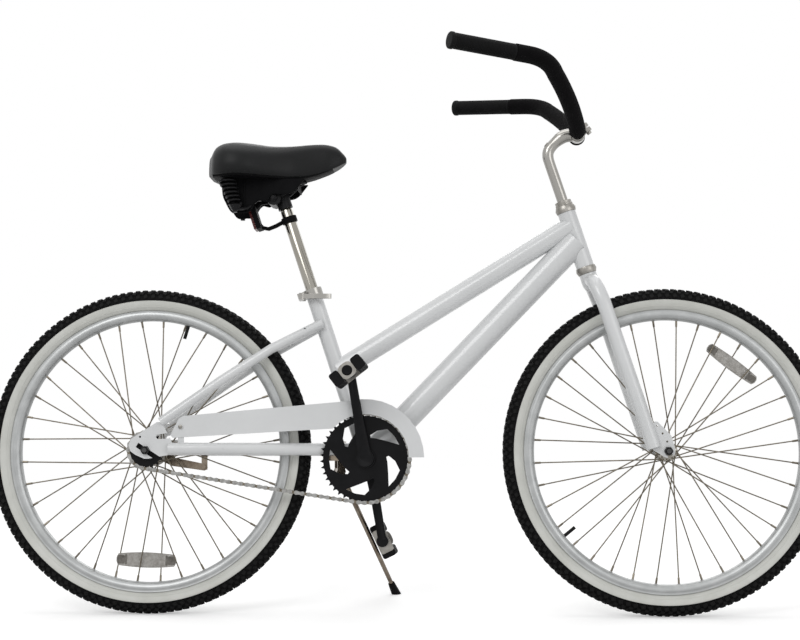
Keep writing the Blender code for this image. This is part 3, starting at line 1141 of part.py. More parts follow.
def saddle_body(stations, points, low_share, high_share, shrink):
    """A closed loft along the saddle's length, between shares of its height."""
    bm = new()
    rings = []
    for step in range(stations + 1):
        t = step / stations
        t = 0.5 - 0.5 * math.cos(math.pi * t)
        x = SADDLE_REAR_X + SADDLE_LENGTH * t
        half = max(saddle_width(t) - shrink, 2 * MM)
        top = saddle_top(t)
        bottom = saddle_bottom(t)
        ring = []
        for pick in range(points):
            angle = math.pi * (pick / (points - 1))
            across_at = -math.cos(angle)
            lift = math.sin(angle) ** 0.62
            y = half * math.copysign(abs(across_at) ** 0.8, across_at)
            z = bottom + (top - bottom) * (low_share + (high_share - low_share) * lift)
            ring.append(bm.verts.new(Vector((x, y, z))))
        for pick in range(1, points - 1, 2):
            across_at = math.cos(math.pi * pick / (points - 1))
            y = half * 0.9 * math.copysign(abs(across_at) ** 0.8, across_at)
            ring.append(bm.verts.new(Vector((x, y, bottom))))
        rings.append(ring)
    skin(bm, rings)
    bm.faces.new(rings[0][::-1])
    bm.faces.new(rings[-1])
    return bm


cover = finish("saddle_cover", saddle_body(16, 13, 0.1, 1.0, 0.0), "vinyl", CLAMP_PIVOT)



def base_top(t):
    return min(saddle_bottom(t), saddle_bottom(max(t - 0.04, 0)), saddle_bottom(min(t + 0.04, 1))) - GAP


base = new()
rings = []
for step in range(13):
    t = 0.05 + 0.83 * step / 12
    x = SADDLE_REAR_X + SADDLE_LENGTH * t
    half = saddle_width(t) * 0.86
    top = base_top(t)
    rings.append([base.verts.new(Vector((x, y, z))) for y, z in
                  ((-half, top), (half, top), (half * 0.94, top - BASE_THICK), (-half * 0.94, top - BASE_THICK))])
skin(base, rings)
base.faces.new(rings[0][::-1])
base.faces.new(rings[-1])
finish("saddle_base", base, "black_plastic", CLAMP_PIVOT)

base_under = SADDLE_BOTTOM_Z - GAP - BASE_THICK
rail_r = RAIL_D / 2
nose_x = SADDLE_REAR_X + SADDLE_LENGTH * 0.7
nose_z = base_top(0.67) - BASE_THICK - rail_r - GAP
half_route = [Vector((SPRING_X, SPRING_SIDE, SPRING_SEAT_Z - 7 * MM)),
              Vector((SPRING_X + 22 * MM, SPRING_SIDE - 12 * MM, SPRING_SEAT_Z - 6 * MM)),
              Vector((CLAMP_PIVOT.x - 32 * MM, RAIL_SIDE + 4 * MM, CLAMP_PIVOT.z - 4 * MM)),
              Vector((CLAMP_PIVOT.x, RAIL_SIDE, CLAMP_PIVOT.z)),
              Vector((CLAMP_PIVOT.x + 30 * MM, RAIL_SIDE - 2 * MM, CLAMP_PIVOT.z + 14 * MM)),
              Vector((nose_x - 14 * MM, 11 * MM, nose_z - 4 * MM)),
              Vector((nose_x, 0, nose_z))]
other_half = [Vector((p.x, -p.y, p.z)) for p in half_route[:-1]]
rail_route = smooth_path(half_route + other_half[::-1], 2)
rails = finish("saddle_rails", sweep(new(), rail_route, rail_r, 6), "black_metal", CLAMP_PIVOT)
for side in (-1, 1):
    hand = "left" if side > 0 else "right"
    disc = rod(new(), CLAMP_PIVOT + Y * (side * (block_half + GAP)), CLAMP_PIVOT + Y * (side * (RAIL_SIDE + 5.5 * MM)),
               CLAMP_DISC_D / 2, 12)
    seat = Vector((SPRING_X, side * SPRING_SIDE, SPRING_SEAT_Z))
    cup = rod(new(), seat - Z * 12 * MM, seat - Z * GAP, 7 * MM, 8, SPRING_FOOT_R + SPRING_WIRE_D / 2)
    tip = rod(new(), seat - Z * 16 * MM, seat - Z * 11 * MM, 5 * MM, 6)
    join(rails, tool("rail_disc_" + hand, disc), tool("spring_cup_" + hand, cup), tool("spring_tip_" + hand, tip))
bolt_hole = rod(new(), CLAMP_PIVOT - Y * 50 * MM, CLAMP_PIVOT + Y * 50 * MM, CLAMP_BOLT_D / 2 + GAP, 8)
cut(rails, tool("rail_bolt_hole", bolt_hole))


def coil(bm, foot, height, shift, low_r, high_r, turns, wire_r):
    """One unbroken coil, flat at both ends, and its least gap between turns."""
    steps = int(turns * 8)
    route = []
    for step in range(steps + 1):
        t = step / steps
        angle = 2 * math.pi * turns * t
        radius = low_r + (high_r - low_r) * t
        place = foot + X * shift * t + Z * (wire_r + (height - 2 * wire_r) * t)
        route.append(place + X * radius * math.cos(angle) + Y * radius * math.sin(angle))
    sweep(bm, route, wire_r, 5)
    return (height - 2 * wire_r) / turns - 2 * wire_r


spring_height = base_under - SPRING_SEAT_Z - GAP
for hand, side in (("right", -1), ("left", 1)):
    foot = Vector((SPRING_X, side * SPRING_SIDE, SPRING_SEAT_Z))
    wound = new()
    least = coil(wound, foot, spring_height, SPRING_TOP_X - SPRING_X, SPRING_FOOT_R, SPRING_TOP_R, SPRING_TURNS,
                 SPRING_WIRE_D / 2)
    finish("saddle_spring_" + hand, wound, "black_metal", CLAMP_PIVOT)
print("least gap between spring turns, mm:", round(least / MM, 2))

# Kickstand: a bracket under the chain stays, a folding leg and its rubber foot
under_stays = STAY_RISE - STAY_D / 2 - GAP
bracket_x = STAND_PIVOT.x
ground_up = Vector((0, -math.sin(LEAN), math.cos(LEAN)))
axle_height = TYRE_R * math.cos(LEAN)
foot_height = 4 * MM
foot_z = (-(axle_height - foot_height) + STAND_FOOT_Y * math.sin(LEAN)) / math.cos(LEAN)
stand_foot = Vector((STAND_FOOT_X, STAND_FOOT_Y, foot_z))
stand_way = (stand_foot - STAND_PIVOT).normalized()
stored_way = Vector((-0.97, 0.16, 0.0)).normalized()
hinge = Vector((-0.25, 0.94, 0))
split = stand_way - stored_way
hinge.z = -(hinge.x * split.x + hinge.y * split.y) / split.z
hinge.normalize()
barrel_half = 13 * MM
plate = finish("kickstand_bracket", block(new(), Vector((bracket_x, 4 * MM, under_stays - 5 * MM)), X, Y,
                                          (38 * MM, 66 * MM, 10 * MM)), "steel")
stem_post = rod(new(), Vector((bracket_x, 0, under_stays - 4 * MM)),
                Vector((bracket_x, 0, STAY_RISE + STAY_D / 2 + 6 * MM)), 5 * MM, 12)
cap_plate = block(new(), Vector((bracket_x, 0, STAY_RISE + STAY_D / 2 + GAP + 2 * MM)), X, Y,
                  (26 * MM, 62 * MM, 4 * MM))
join(plate, tool("stand_bolt", stem_post), tool("stand_cap", cap_plate))
for part, end in (("inner", -1), ("outer", 1)):
    near = STAND_PIVOT + hinge * (end * (barrel_half + GAP))
    far = STAND_PIVOT + hinge * (end * (barrel_half + 5 * MM))
    ear = rod(new(), near, far, STAND_BARREL_D / 2 + 1 * MM, 8)
    up_to = Vector((near.x * 0.5 + far.x * 0.5, near.y * 0.5 + far.y * 0.5, under_stays - 6 * MM))
    web_low = (near + far) / 2
    run = up_to - web_low
    web = block(new(), (up_to + web_low) / 2, run.normalized(), (hinge.cross(run)).normalized(),
                (run.length, 16 * MM, 4 * MM))
    join(plate, tool("stand_ear_" + part, ear), tool("stand_web_" + part, web))
pin = rod(new(), STAND_PIVOT - hinge * (barrel_half + 3 * MM), STAND_PIVOT + hinge * (barrel_half + 3 * MM), 3 * MM, 10)
join(plate, tool("stand_pin", pin))

leg_end = stand_foot - stand_way * 6 * MM
leg = finish("kickstand_leg", rod(new(), STAND_PIVOT + stand_way * 2 * MM, leg_end, STAND_TOP_D / 2, 12,
                                  STAND_LOW_D / 2), "chrome", STAND_PIVOT)
barrel = rod(new(), STAND_PIVOT - hinge * barrel_half, STAND_PIVOT + hinge * barrel_half, STAND_BARREL_D / 2, 12)
join(leg, tool("stand_barrel", barrel))
cut(leg, tool("stand_pin_hole", rod(new(), STAND_PIVOT - hinge * 2 * barrel_half, STAND_PIVOT + hinge * 2 * barrel_half,
                                    3 * MM + GAP, 10)))

foot = finish("kickstand_foot", rod(new(), stand_foot - stand_way * FOOT_LENGTH, stand_foot + stand_way * 14 * MM,
                                    FOOT_NECK_D / 2, 14, FOOT_D / 2), "rubber", STAND_PIVOT)
leg_hole = rod(new(), STAND_PIVOT, leg_end + stand_way * GAP, STAND_TOP_D / 2 + GAP, 12,
               STAND_LOW_D / 2 + GAP)
ground_side = ground_up.cross(X)
floor_box = block(new(), X * STAND_FOOT_X - ground_up * (axle_height + 50 * MM) + ground_side * STAND_FOOT_Y, X,
                  ground_side, (200 * MM, 200 * MM, 100 * MM))
cut(foot, tool("leg_hole", leg_hole), tool("floor", floor_box))

# Stand the bicycle on the ground, with the middle of its footprint at the origin
bike.rotation_euler = (-LEAN, 0, 0)
bpy.context.view_layer.update()
depsgraph = bpy.context.evaluated_depsgraph_get()
low = [1e9] * 3
high = [-1e9] * 3
for piece in bpy.data.objects:
    if piece.type != "MESH" or piece.hide_render:
        continue
    evaluated = piece.evaluated_get(depsgraph)
    for vertex in evaluated.to_mesh().vertices:
        place = evaluated.matrix_world @ vertex.co
        low = [min(a, b) for a, b in zip(low, place)]
        high = [max(a, b) for a, b in zip(high, place)]
    evaluated.to_mesh_clear()
bike.location = (-(low[0] + high[0]) / 2, -(low[1] + high[1]) / 2, axle_height)
bpy.context.view_layer.update()

for label, place, way in (
        ("steering", steer_origin, STEER_UP), ("front wheel", FRONT_AXLE, Y), ("rear wheel", REAR_AXLE, Y),
        ("crank", CRANK, Y), ("right pedal", CRANK + crank_way(-1) * CRANK_LENGTH, Y),
        ("left pedal", CRANK + crank_way(1) * CRANK_LENGTH, Y), ("kickstand", STAND_PIVOT, hinge),
        ("seat post", seat_point(0, 0, SEAT_TUBE_LENGTH), SEAT_UP), ("clamp lever", lever_pivot, Z),
        ("saddle", CLAMP_PIVOT, Y), ("stand foot", stand_foot, ground_up)):
    spot = bike.matrix_world @ place
    turn = bike.matrix_world.to_3x3() @ way
    print(label, [round(v, 5) for v in spot], [round(v, 5) for v in turn])
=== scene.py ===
"""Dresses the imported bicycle: finer pieces where the solids are coarse, materials, floor, light, camera.

Sizes are millimetres measured from the rear axle on the upright bicycle, as the solids are. BIKE
leans them on to the kickstand and turns them into metres.
"""
import json
import math

import bmesh
import bpy
from mathutils import Matrix, Vector


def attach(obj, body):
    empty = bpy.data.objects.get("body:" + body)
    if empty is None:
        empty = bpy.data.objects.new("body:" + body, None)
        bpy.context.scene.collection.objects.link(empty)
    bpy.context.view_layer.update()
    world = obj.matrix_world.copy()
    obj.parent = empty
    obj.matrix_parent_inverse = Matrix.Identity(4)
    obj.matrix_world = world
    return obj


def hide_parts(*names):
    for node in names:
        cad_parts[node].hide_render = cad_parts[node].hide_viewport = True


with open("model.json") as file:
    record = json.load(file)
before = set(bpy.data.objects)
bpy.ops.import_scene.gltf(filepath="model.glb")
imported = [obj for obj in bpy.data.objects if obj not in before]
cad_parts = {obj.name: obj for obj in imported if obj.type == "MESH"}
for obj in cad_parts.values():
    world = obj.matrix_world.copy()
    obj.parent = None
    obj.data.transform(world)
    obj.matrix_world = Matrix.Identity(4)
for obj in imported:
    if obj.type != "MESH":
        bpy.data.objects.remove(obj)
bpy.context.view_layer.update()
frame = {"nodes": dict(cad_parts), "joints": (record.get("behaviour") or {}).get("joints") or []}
nodes = frame["nodes"]
joints = {joint["name"]: joint for joint in frame["joints"]}

MM = 0.001
GAP = 0.3
ON_AXIS = 1e-6
LEAN = math.radians(6.86)
AXLE_AT = Vector(joints["rear_wheel_spin"]["pos_m"])
BIKE = Matrix.Translation(AXLE_AT) @ Matrix.Rotation(-LEAN, 4, "X") @ Matrix.Scale(MM, 4)

X = Vector((1, 0, 0))
Y = Vector((0, 1, 0))
Z = Vector((0, 0, 1))
REAR = Vector((0, 0, 0))
FRONT = Vector((1044, 0, 0))
CRANK = Vector((441.5, 0, -15))
HEAD_ANGLE = math.radians(18.4)
FORK_RAKE = 33
FORK_SPAN = 405
HEAD_HALF = 59
STEER_UP = Vector((-math.sin(HEAD_ANGLE), 0, math.cos(HEAD_ANGLE)))
STEER_AHEAD = Vector((math.cos(HEAD_ANGLE), 0, math.sin(HEAD_ANGLE)))
HEAD_MIDDLE = FRONT - STEER_AHEAD * FORK_RAKE + STEER_UP * (FORK_SPAN + HEAD_HALF)


def steer_point(ahead, up):
    """A point in the bicycle's middle plane, measured along and across the steering axis."""
    return HEAD_MIDDLE + STEER_AHEAD * ahead + STEER_UP * up


def radial(angle):
    """The way out from an axle, at an angle that starts straight ahead and rises."""
    return X * math.cos(angle) + Z * math.sin(angle)


def ease(t):
    return t * t * (3 - 2 * t)


# Materials
def shade(name):
    made = bpy.data.materials.new(name)
    made.use_nodes = True
    return made, made.node_tree, made.node_tree.nodes["Principled BSDF"]


def feed(tree, node, inputs):
    """Gives each named input a value, or the socket that drives it."""
    for key, value in inputs.items():
        if isinstance(value, bpy.types.NodeSocket):
            tree.links.new(value, node.inputs[key])
        else:
            node.inputs[key].default_value = value
    return node


def add(tree, kind, inputs, **settings):
    made = tree.nodes.new(kind)
    for key, value in settings.items():
        setattr(made, key, value)
    return feed(tree, made, inputs)


def ramp(tree, source, low, high, start=0.3, end=0.7):
    """Two colours mixed by a grey value."""
    made = add(tree, "ShaderNodeValToRGB", {"Fac": source})
    for stop, place, colour in zip(made.color_ramp.elements, (start, end), (low, high)):
        stop.position = place
        stop.color = (*colour, 1)
    return made.outputs["Color"]


def finish_material(name, light, dark, rough, metal=0.0, coat=0.0, patch=14.0, grain=900.0, bump=0.08,
                    depth=0.0004, cells=False, sheen=0.0, specular=0.5, clear=0.0, worn=None):
    """A surface whose colour and gloss vary in patches, with a fine grain of its own."""
    made, tree, skin = shade(name)
    place = tree.nodes.new("ShaderNodeTexCoord").outputs["Object"]
    cloud = add(tree, "ShaderNodeTexNoise",
                {"Vector": place, "Scale": patch, "Detail": 5.0, "Roughness": 0.6}).outputs["Fac"]
    colour = ramp(tree, cloud, dark, light)
    if worn:
        edge = tree.nodes.new("ShaderNodeNewGeometry").outputs["Pointiness"]
        sharp = ramp(tree, edge, (0, 0, 0), (1, 1, 1), 0.53, 0.6)
        colour = add(tree, "ShaderNodeMix", {"Factor": sharp, "A": colour, "B": (*worn, 1)},
                     data_type="RGBA").outputs["Result"]
    gloss = add(tree, "ShaderNodeMapRange", {"Value": cloud, "To Min": rough * 0.82,
                                             "To Max": min(rough * 1.22, 1.0)}).outputs["Result"]
    if cells:
        height = add(tree, "ShaderNodeTexVoronoi", {"Vector": place, "Scale": grain}).outputs["Distance"]
    else:
        height = add(tree, "ShaderNodeTexNoise",
                     {"Vector": place, "Scale": grain, "Detail": 3.0, "Roughness": 0.65}).outputs["Fac"]
    relief = add(tree, "ShaderNodeBump", {"Strength": bump, "Distance": depth, "Height": height})
    feed(tree, skin, {"Base Color": colour, "Roughness": gloss, "Normal": relief.outputs["Normal"],
                      "Metallic": metal, "Coat Weight": coat, "Coat Roughness": 0.08,
                      "Sheen Weight": sheen, "Specular IOR Level": specular, "Transmission Weight": clear})
    return made


WHITE = finish_material("white_paint", (0.71, 0.72, 0.725), (0.65, 0.66, 0.665), 0.28, coat=0.5, patch=6,
                        grain=220, bump=0.05)
STEEL = finish_material("plain_steel", (0.38, 0.365, 0.34), (0.22, 0.21, 0.19), 0.34, metal=1.0, patch=60,
                        grain=1400, bump=0.15)
ALLOY = finish_material("polished_alloy", (0.37, 0.36, 0.34), (0.29, 0.28, 0.26), 0.2, metal=1.0, patch=5,
                        grain=1600)
RIM = finish_material("rim_alloy", (0.46, 0.47, 0.47), (0.36, 0.37, 0.37), 0.38, metal=0.75, patch=30,
                      grain=1500, bump=0.12)
CHROME = finish_material("chrome_plate", (0.35, 0.335, 0.3), (0.26, 0.245, 0.215), 0.12, metal=1.0,
                         patch=5, grain=700, bump=0.04)
STAND_CHROME = finish_material("aged_plate", (0.33, 0.28, 0.225), (0.15, 0.118, 0.088), 0.24, metal=1.0,
                               patch=40, grain=700)
SPOKE = finish_material("spoke_wire", (0.2, 0.175, 0.138), (0.11, 0.096, 0.074), 0.33, metal=1.0, patch=80,
                        grain=1800)
CHAIN = finish_material("chain_steel", (0.42, 0.42, 0.41), (0.2, 0.195, 0.185), 0.32, metal=1.0, patch=140,
                        grain=1600, bump=0.15)
BLACK_METAL = finish_material("black_enamel", (0.008, 0.008, 0.009), (0.004, 0.004, 0.0045), 0.3, patch=30,
                              grain=500, bump=0.05, worn=(0.014, 0.014, 0.015), specular=0.1)
DARK_NUT = finish_material("blackened_steel", (0.025, 0.025, 0.026), (0.01, 0.01, 0.01), 0.4, metal=0.5,
                           patch=120, grain=1500, bump=0.15, worn=(0.07, 0.07, 0.07), specular=0.2)
PLASTIC = finish_material("moulded_plastic", (0.006, 0.006, 0.0065), (0.003, 0.003, 0.0035), 0.5, patch=50,
                          grain=2200, bump=0.2, depth=0.0002, cells=True, specular=0.04)
PEDAL_RUBBER = finish_material("pedal_rubber", (0.008, 0.008, 0.009), (0.004, 0.004, 0.004), 0.6, patch=90,
                               grain=1800, bump=0.3, depth=0.0003, specular=0.1)
TREAD = finish_material("tread_rubber", (0.008, 0.008, 0.0085), (0.004, 0.004, 0.004), 0.62, patch=50,
                        grain=1500, bump=0.35, worn=(0.013, 0.013, 0.013), specular=0.06)
IVORY = finish_material("ivory_sidewall", (0.665, 0.67, 0.635), (0.565, 0.57, 0.53), 0.55, patch=18,
                        grain=1100, bump=0.2, depth=0.0003)
TUBE_RUBBER = finish_material("tube_rubber", (0.012, 0.012, 0.012), (0.006, 0.006, 0.006), 0.55, patch=60,
                              grain=1200, bump=0.2, specular=0.1)
GRIP = finish_material("grip_rubber", (0.008, 0.008, 0.0085), (0.004, 0.004, 0.004), 0.6, patch=60,
                       grain=2000, bump=0.35, depth=0.0003, specular=0.09)
FOAM = finish_material("closed_foam", (0.006, 0.0055, 0.006), (0.003, 0.0028, 0.003), 0.85, patch=70,
                       grain=1300, bump=0.7, depth=0.0006, sheen=0.02, cells=True, specular=0.04)
VINYL = finish_material("saddle_vinyl", (0.0085, 0.009, 0.0095), (0.0065, 0.0068, 0.007), 0.4, patch=3,
                        grain=850, bump=0.25, depth=0.0003, cells=True, sheen=0.03, specular=0.16)
CLEAR = finish_material("clear_prisms", (0.6, 0.58, 0.55), (0.36, 0.34, 0.31), 0.14, patch=110, grain=420,
                        bump=0.7, depth=0.0008, cells=True, clear=0.3)
SMOKE = finish_material("reflector_ends", (0.2, 0.19, 0.17), (0.1, 0.09, 0.08), 0.2, patch=120, grain=420,
                        bump=0.4, depth=0.0006, cells=True, specular=0.3)
RED = finish_material("red_prisms", (0.09, 0.006, 0.005), (0.04, 0.003, 0.003), 0.2, patch=150, grain=380,
                      bump=0.8, depth=0.0008, cells=True, specular=0.25)


# Carried-over nodes: welded, shaded smooth across shallow edges, and given a rounded edge
WELD_M = 0.00002
SMOOTH_BELOW = math.radians(41)


def smoothing_group():
    group = bpy.data.node_groups.new("weld_and_smooth", "GeometryNodeTree")
    group.interface.new_socket("Geometry", in_out="INPUT", socket_type="NodeSocketGeometry")
    group.interface.new_socket("Geometry", in_out="OUTPUT", socket_type="NodeSocketGeometry")
    inside = group.nodes.new("NodeGroupInput").outputs[0]
    weld = add(group, "GeometryNodeMergeByDistance", {"Geometry": inside, "Distance": WELD_M})
    faces = add(group, "GeometryNodeSetShadeSmooth", {"Geometry": weld.outputs["Geometry"]})
    angle = group.nodes.new("GeometryNodeInputMeshEdgeAngle").outputs["Unsigned Angle"]
    above = add(group, "FunctionNodeCompare", {0: angle, 1: SMOOTH_BELOW}, data_type="FLOAT",
                operation="GREATER_THAN")
    edges = add(group, "GeometryNodeSetShadeSmooth",
                {"Geometry": faces.outputs["Geometry"], "Selection": above.outputs["Result"],
                 "Shade Smooth": False}, domain="EDGE")
    add(group, "NodeGroupOutput", {0: edges.outputs["Geometry"]})
    return group


SMOOTH = smoothing_group()


def round_edges(item, width, least_angle):
    edge = item.modifiers.new("edge", "BEVEL")
    edge.width = width * MM
    edge.segments = 2
    edge.limit_method = "ANGLE"
    edge.angle_limit = math.radians(least_angle)
    edge.harden_normals = True


def dress(look, *names, bevel=0.0):
    for name in names:
        item = nodes[name]
        item.data.materials.clear()
        item.data.materials.append(look)
        item.modifiers.new("weld_and_smooth", "NODES").node_group = SMOOTH
        if bevel:
            round_edges(item, bevel, 42)


# Mesh helpers, all in bicycle millimetres
class Shape:
    """Collects several closed forms into one mesh. A face's pick is the place of its look in the list."""

    def __init__(self):
        self.verts = []
        self.faces = []
        self.picks = []

    def put(self, verts, faces, pick=0):
        first = len(self.verts)
        self.verts += verts
        self.faces += [[first + i for i in face] for face in faces]
        self.picks += [pick] * len(faces)

    def ring(self, centre, one, two, radius, sides):
        """Adds a circle of vertices, and gives the place of its first one."""
        first = len(self.verts)
        for step in range(sides):
            angle = 2 * math.pi * step / sides
            self.verts.append(centre + (one * math.cos(angle) + two * math.sin(angle)) * radius)
        return first

    def band(self, low, high, sides, pick=0):
        """Faces between two rings that start at low and high."""
        for step in range(sides):
            turn = (step + 1) % sides
            self.faces.append([low + step, high + step, high + turn, low + turn])
            self.picks.append(pick)

    def caps(self, low, high, sides, pick=0):
        self.faces.append([low + step for step in range(sides)][::-1])
        self.faces.append([high + step for step in range(sides)])
        self.picks += [pick, pick]

    def revolve(self, profile, centre, axis, segments=64, picks=None, one=None):
        """Turns (radius, height) points about an axis."""
        axis = axis.normalized()
        if one is None:
            one = axis.orthogonal().normalized()
        one = (one - axis * one.dot(axis)).normalized()
        two = axis.cross(one)
        points = [radius < ON_AXIS for radius, _ in profile]
        starts = [self.ring(centre + axis * height, one, two, radius, 1 if point else segments)
                  for (radius, height), point in zip(profile, points)]
        count = len(profile)
        for index in range(count - 1 if points[0] and points[-1] else count):
            after = (index + 1) % count
            low, high = starts[index], starts[after]
            pick = picks[index] if picks else 0
            if points[index] and points[after]:
                continue
            if not points[index] and not points[after]:
                self.band(low, high, segments, pick)
                continue
            for step in range(segments):
                turn = (step + 1) % segments
                self.faces.append([low, high + step, high + turn] if points[index]
                                  else [low + step, high, low + turn])
                self.picks.append(pick)

    def tube(self, points, radius, sides=20, bore=0.0):
        """A round tube along points; radius may be one value or one for each point."""
        count = len(points)
        radii = radius if isinstance(radius, list) else [radius] * count
        ways = [(points[min(index + 1, count - 1)] - points[max(index - 1, 0)]).normalized()
                for index in range(count)]
        one = ways[0].orthogonal().normalized()
        outer = []
        inner = []
        for point, way, size in zip(points, ways, radii):
            one = (one - way * one.dot(way)).normalized()
            two = way.cross(one)
            outer.append(self.ring(point, one, two, size, sides))
            if bore:
                inner.append(self.ring(point, one, two, bore, sides))
        loops = outer + inner[::-1]
        for low, high in zip(loops, loops[1:]):
            self.band(low, high, sides)
        if bore:
            self.band(loops[-1], loops[0], sides)
        else:
            self.caps(loops[0], loops[-1], sides)
        return self

    def loft(self, rings):
        """A solid skin over rings with the same number of points."""
        first = len(self.verts)
        size = len(rings[0])
        for ring in rings:
            self.verts += ring
        starts = [first + size * row for row in range(len(rings))]
        for low, high in zip(starts, starts[1:]):
            self.band(low, high, size)
        self.caps(starts[0], starts[-1], size)
        return self

    def slab(self, outline, place, one, two, low, high, pick=0):
        """A plate whose outline is given along one and two, between two heights on their normal."""
        normal = one.cross(two).normalized()
        first = len(self.verts)
        count = len(outline)
        for height in (low, high):
            self.verts += [place + one * a + two * b + normal * height for a, b in outline]
        for step in range(count):
            turn = (step + 1) % count
            self.faces.append([first + step, first + turn, first + count + turn, first + count + step])
            self.picks.append(pick)
        self.caps(first, first + count, count, pick)

    def block(self, place, one, two, sizes, pick=0):
        a, b, c = (size / 2 for size in sizes)
        self.slab([(-a, -b), (a, -b), (a, b), (-a, b)], place, one, two, -c, c, pick)

    def ring_plate(self, outline, hole, place, one, two, half, pick):
        """A flat plate with a round hole in the middle of its outline."""
        normal = one.cross(two).normalized()
        count = len(outline)
        edge = [(a / math.hypot(a, b) * hole, b / math.hypot(a, b) * hole) for a, b in outline]
        verts = [place + one * a + two * b + normal * height
                 for height in (-half, half) for line in (outline, edge) for a, b in line]
        faces = []
        for step in range(count):
            turn = (step + 1) % count
            for first, second in ((0, 2), (3, 1), (1, 0), (2, 3)):
                faces.append([first * count + step, first * count + turn, second * count + turn,
                              second * count + step])
        self.put(verts, faces, pick)

    def make(self, name, body, look, replaces=(), slot=None, sharp=40, bevel=0.0, subdivide=0):
        mesh = bpy.data.meshes.new(name)
        mesh.from_pydata([BIKE @ v for v in self.verts], [], self.faces)
        mesh.validate()
        bm = bmesh.new()
        bm.from_mesh(mesh)
        bmesh.ops.recalc_face_normals(bm, faces=bm.faces)
        bm.to_mesh(mesh)
        bm.free()
        for item in look if isinstance(look, list) else [look]:
            mesh.materials.append(item)
        for polygon, pick in zip(mesh.polygons, self.picks):
            polygon.material_index = pick
        mesh.shade_smooth()
        mesh.set_sharp_from_angle(angle=math.radians(sharp))
        made = bpy.data.objects.new(name, mesh)
        bpy.context.scene.collection.objects.link(made)
        if bevel:
            round_edges(made, bevel, 35)
        if subdivide:
            finer = made.modifiers.new("finer", "SUBSURF")
            finer.levels = subdivide
            finer.render_levels = subdivide
        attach(made, body)
        if replaces:
            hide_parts(*replaces)
        return made


def smooth_path(points, parts=6):
    """A curve through points."""
    made = []
    count = len(points)
    for index in range(count - 1):
        p0 = points[max(index - 1, 0)]
        p1 = points[index]
        p2 = points[index + 1]
        p3 = points[min(index + 2, count - 1)]
        for step in range(parts):
            t = step / parts
            made.append(0.5 * ((2 * p1) + (p2 - p0) * t + (2 * p0 - 5 * p1 + 4 * p2 - p3) * t * t
                               + (3 * p1 - p0 - 3 * p2 + p3) * t * t * t))
    return made + [points[-1]]


def bent(start, corner, end, share):
    """A point on the arc that leads from start to end and leans towards a corner."""
    return start * (1 - share) ** 2 + corner * 2 * share * (1 - share) + end * share ** 2


def rounded(width, height, corner, steps=5):
    """The outline of a rectangle with round corners."""
    made = []
    for sx, sy, start in ((1, 1, 0), (-1, 1, 90), (-1, -1, 180), (1, -1, 270)):
        for step in range(steps + 1):
            angle = math.radians(start + 90 * step / steps)
            made.append((sx * (width / 2 - corner) + corner * math.cos(angle),
                         sy * (height / 2 - corner) + corner * math.sin(angle)))
    return made


def lens(length, height, ends):
    """An outline that is widest in the middle and has round ends."""
    steps = 18
    upper = []
    for step in range(steps + 1):
        part = -math.cos(math.pi * step / steps)
        full = height / 2 * (ends + (1 - ends) * math.cos(part * math.pi / 2) ** 0.8)
        upper.append((part * length / 2, full * min(1.0, (1 - abs(part)) * 14 + 0.35)))
    return upper[::-1] + [(x, -y) for x, y in upper]


# Wheels
WHEEL_SEGMENTS = 192
TYRE_R = 328.5
SECTION_R = 24.5
SECTION_MIDDLE_R = TYRE_R - SECTION_R
CASING_R = SECTION_R - 3.2
WALL_R = 305.6
WALL_END = math.radians(128)
WALL_RING_R = 293.5
SECTION_STEPS = 8
RIM_OUTER_R = 285.5
RIM_INNER_R = 264.7
REFLECTOR_R = 221
SPOKES_PER_SIDE = 18
SPOKE_R = 1.3
SPOKE_TRAIL = math.radians(60)
SPOKE_ELBOW = 2.86
NIPPLE_LENGTH = 15
FLANGE_Y = 30
RIM_HOLE_Y = 2.4
BLOCKS_PER_ROW = 128
BLOCK_SUNK = 0.6
# for each row of tread blocks: its angle round the section, length, width, phase and height
TREAD_ROWS = ((0.0, 7.6, 8.8, 0.0, 3.15), (24.0, 7.4, 6.8, 0.5, 3.15), (45.0, 7.6, 5.6, 0.0, 3.15),
              (66.0, 7.8, 6.6, 0.5, 2.9))
BLOCK_FACES = [[0, 1, 5, 4], [1, 2, 6, 5], [2, 3, 7, 6], [3, 0, 4, 7], [4, 5, 6, 7], [3, 2, 1, 0]]


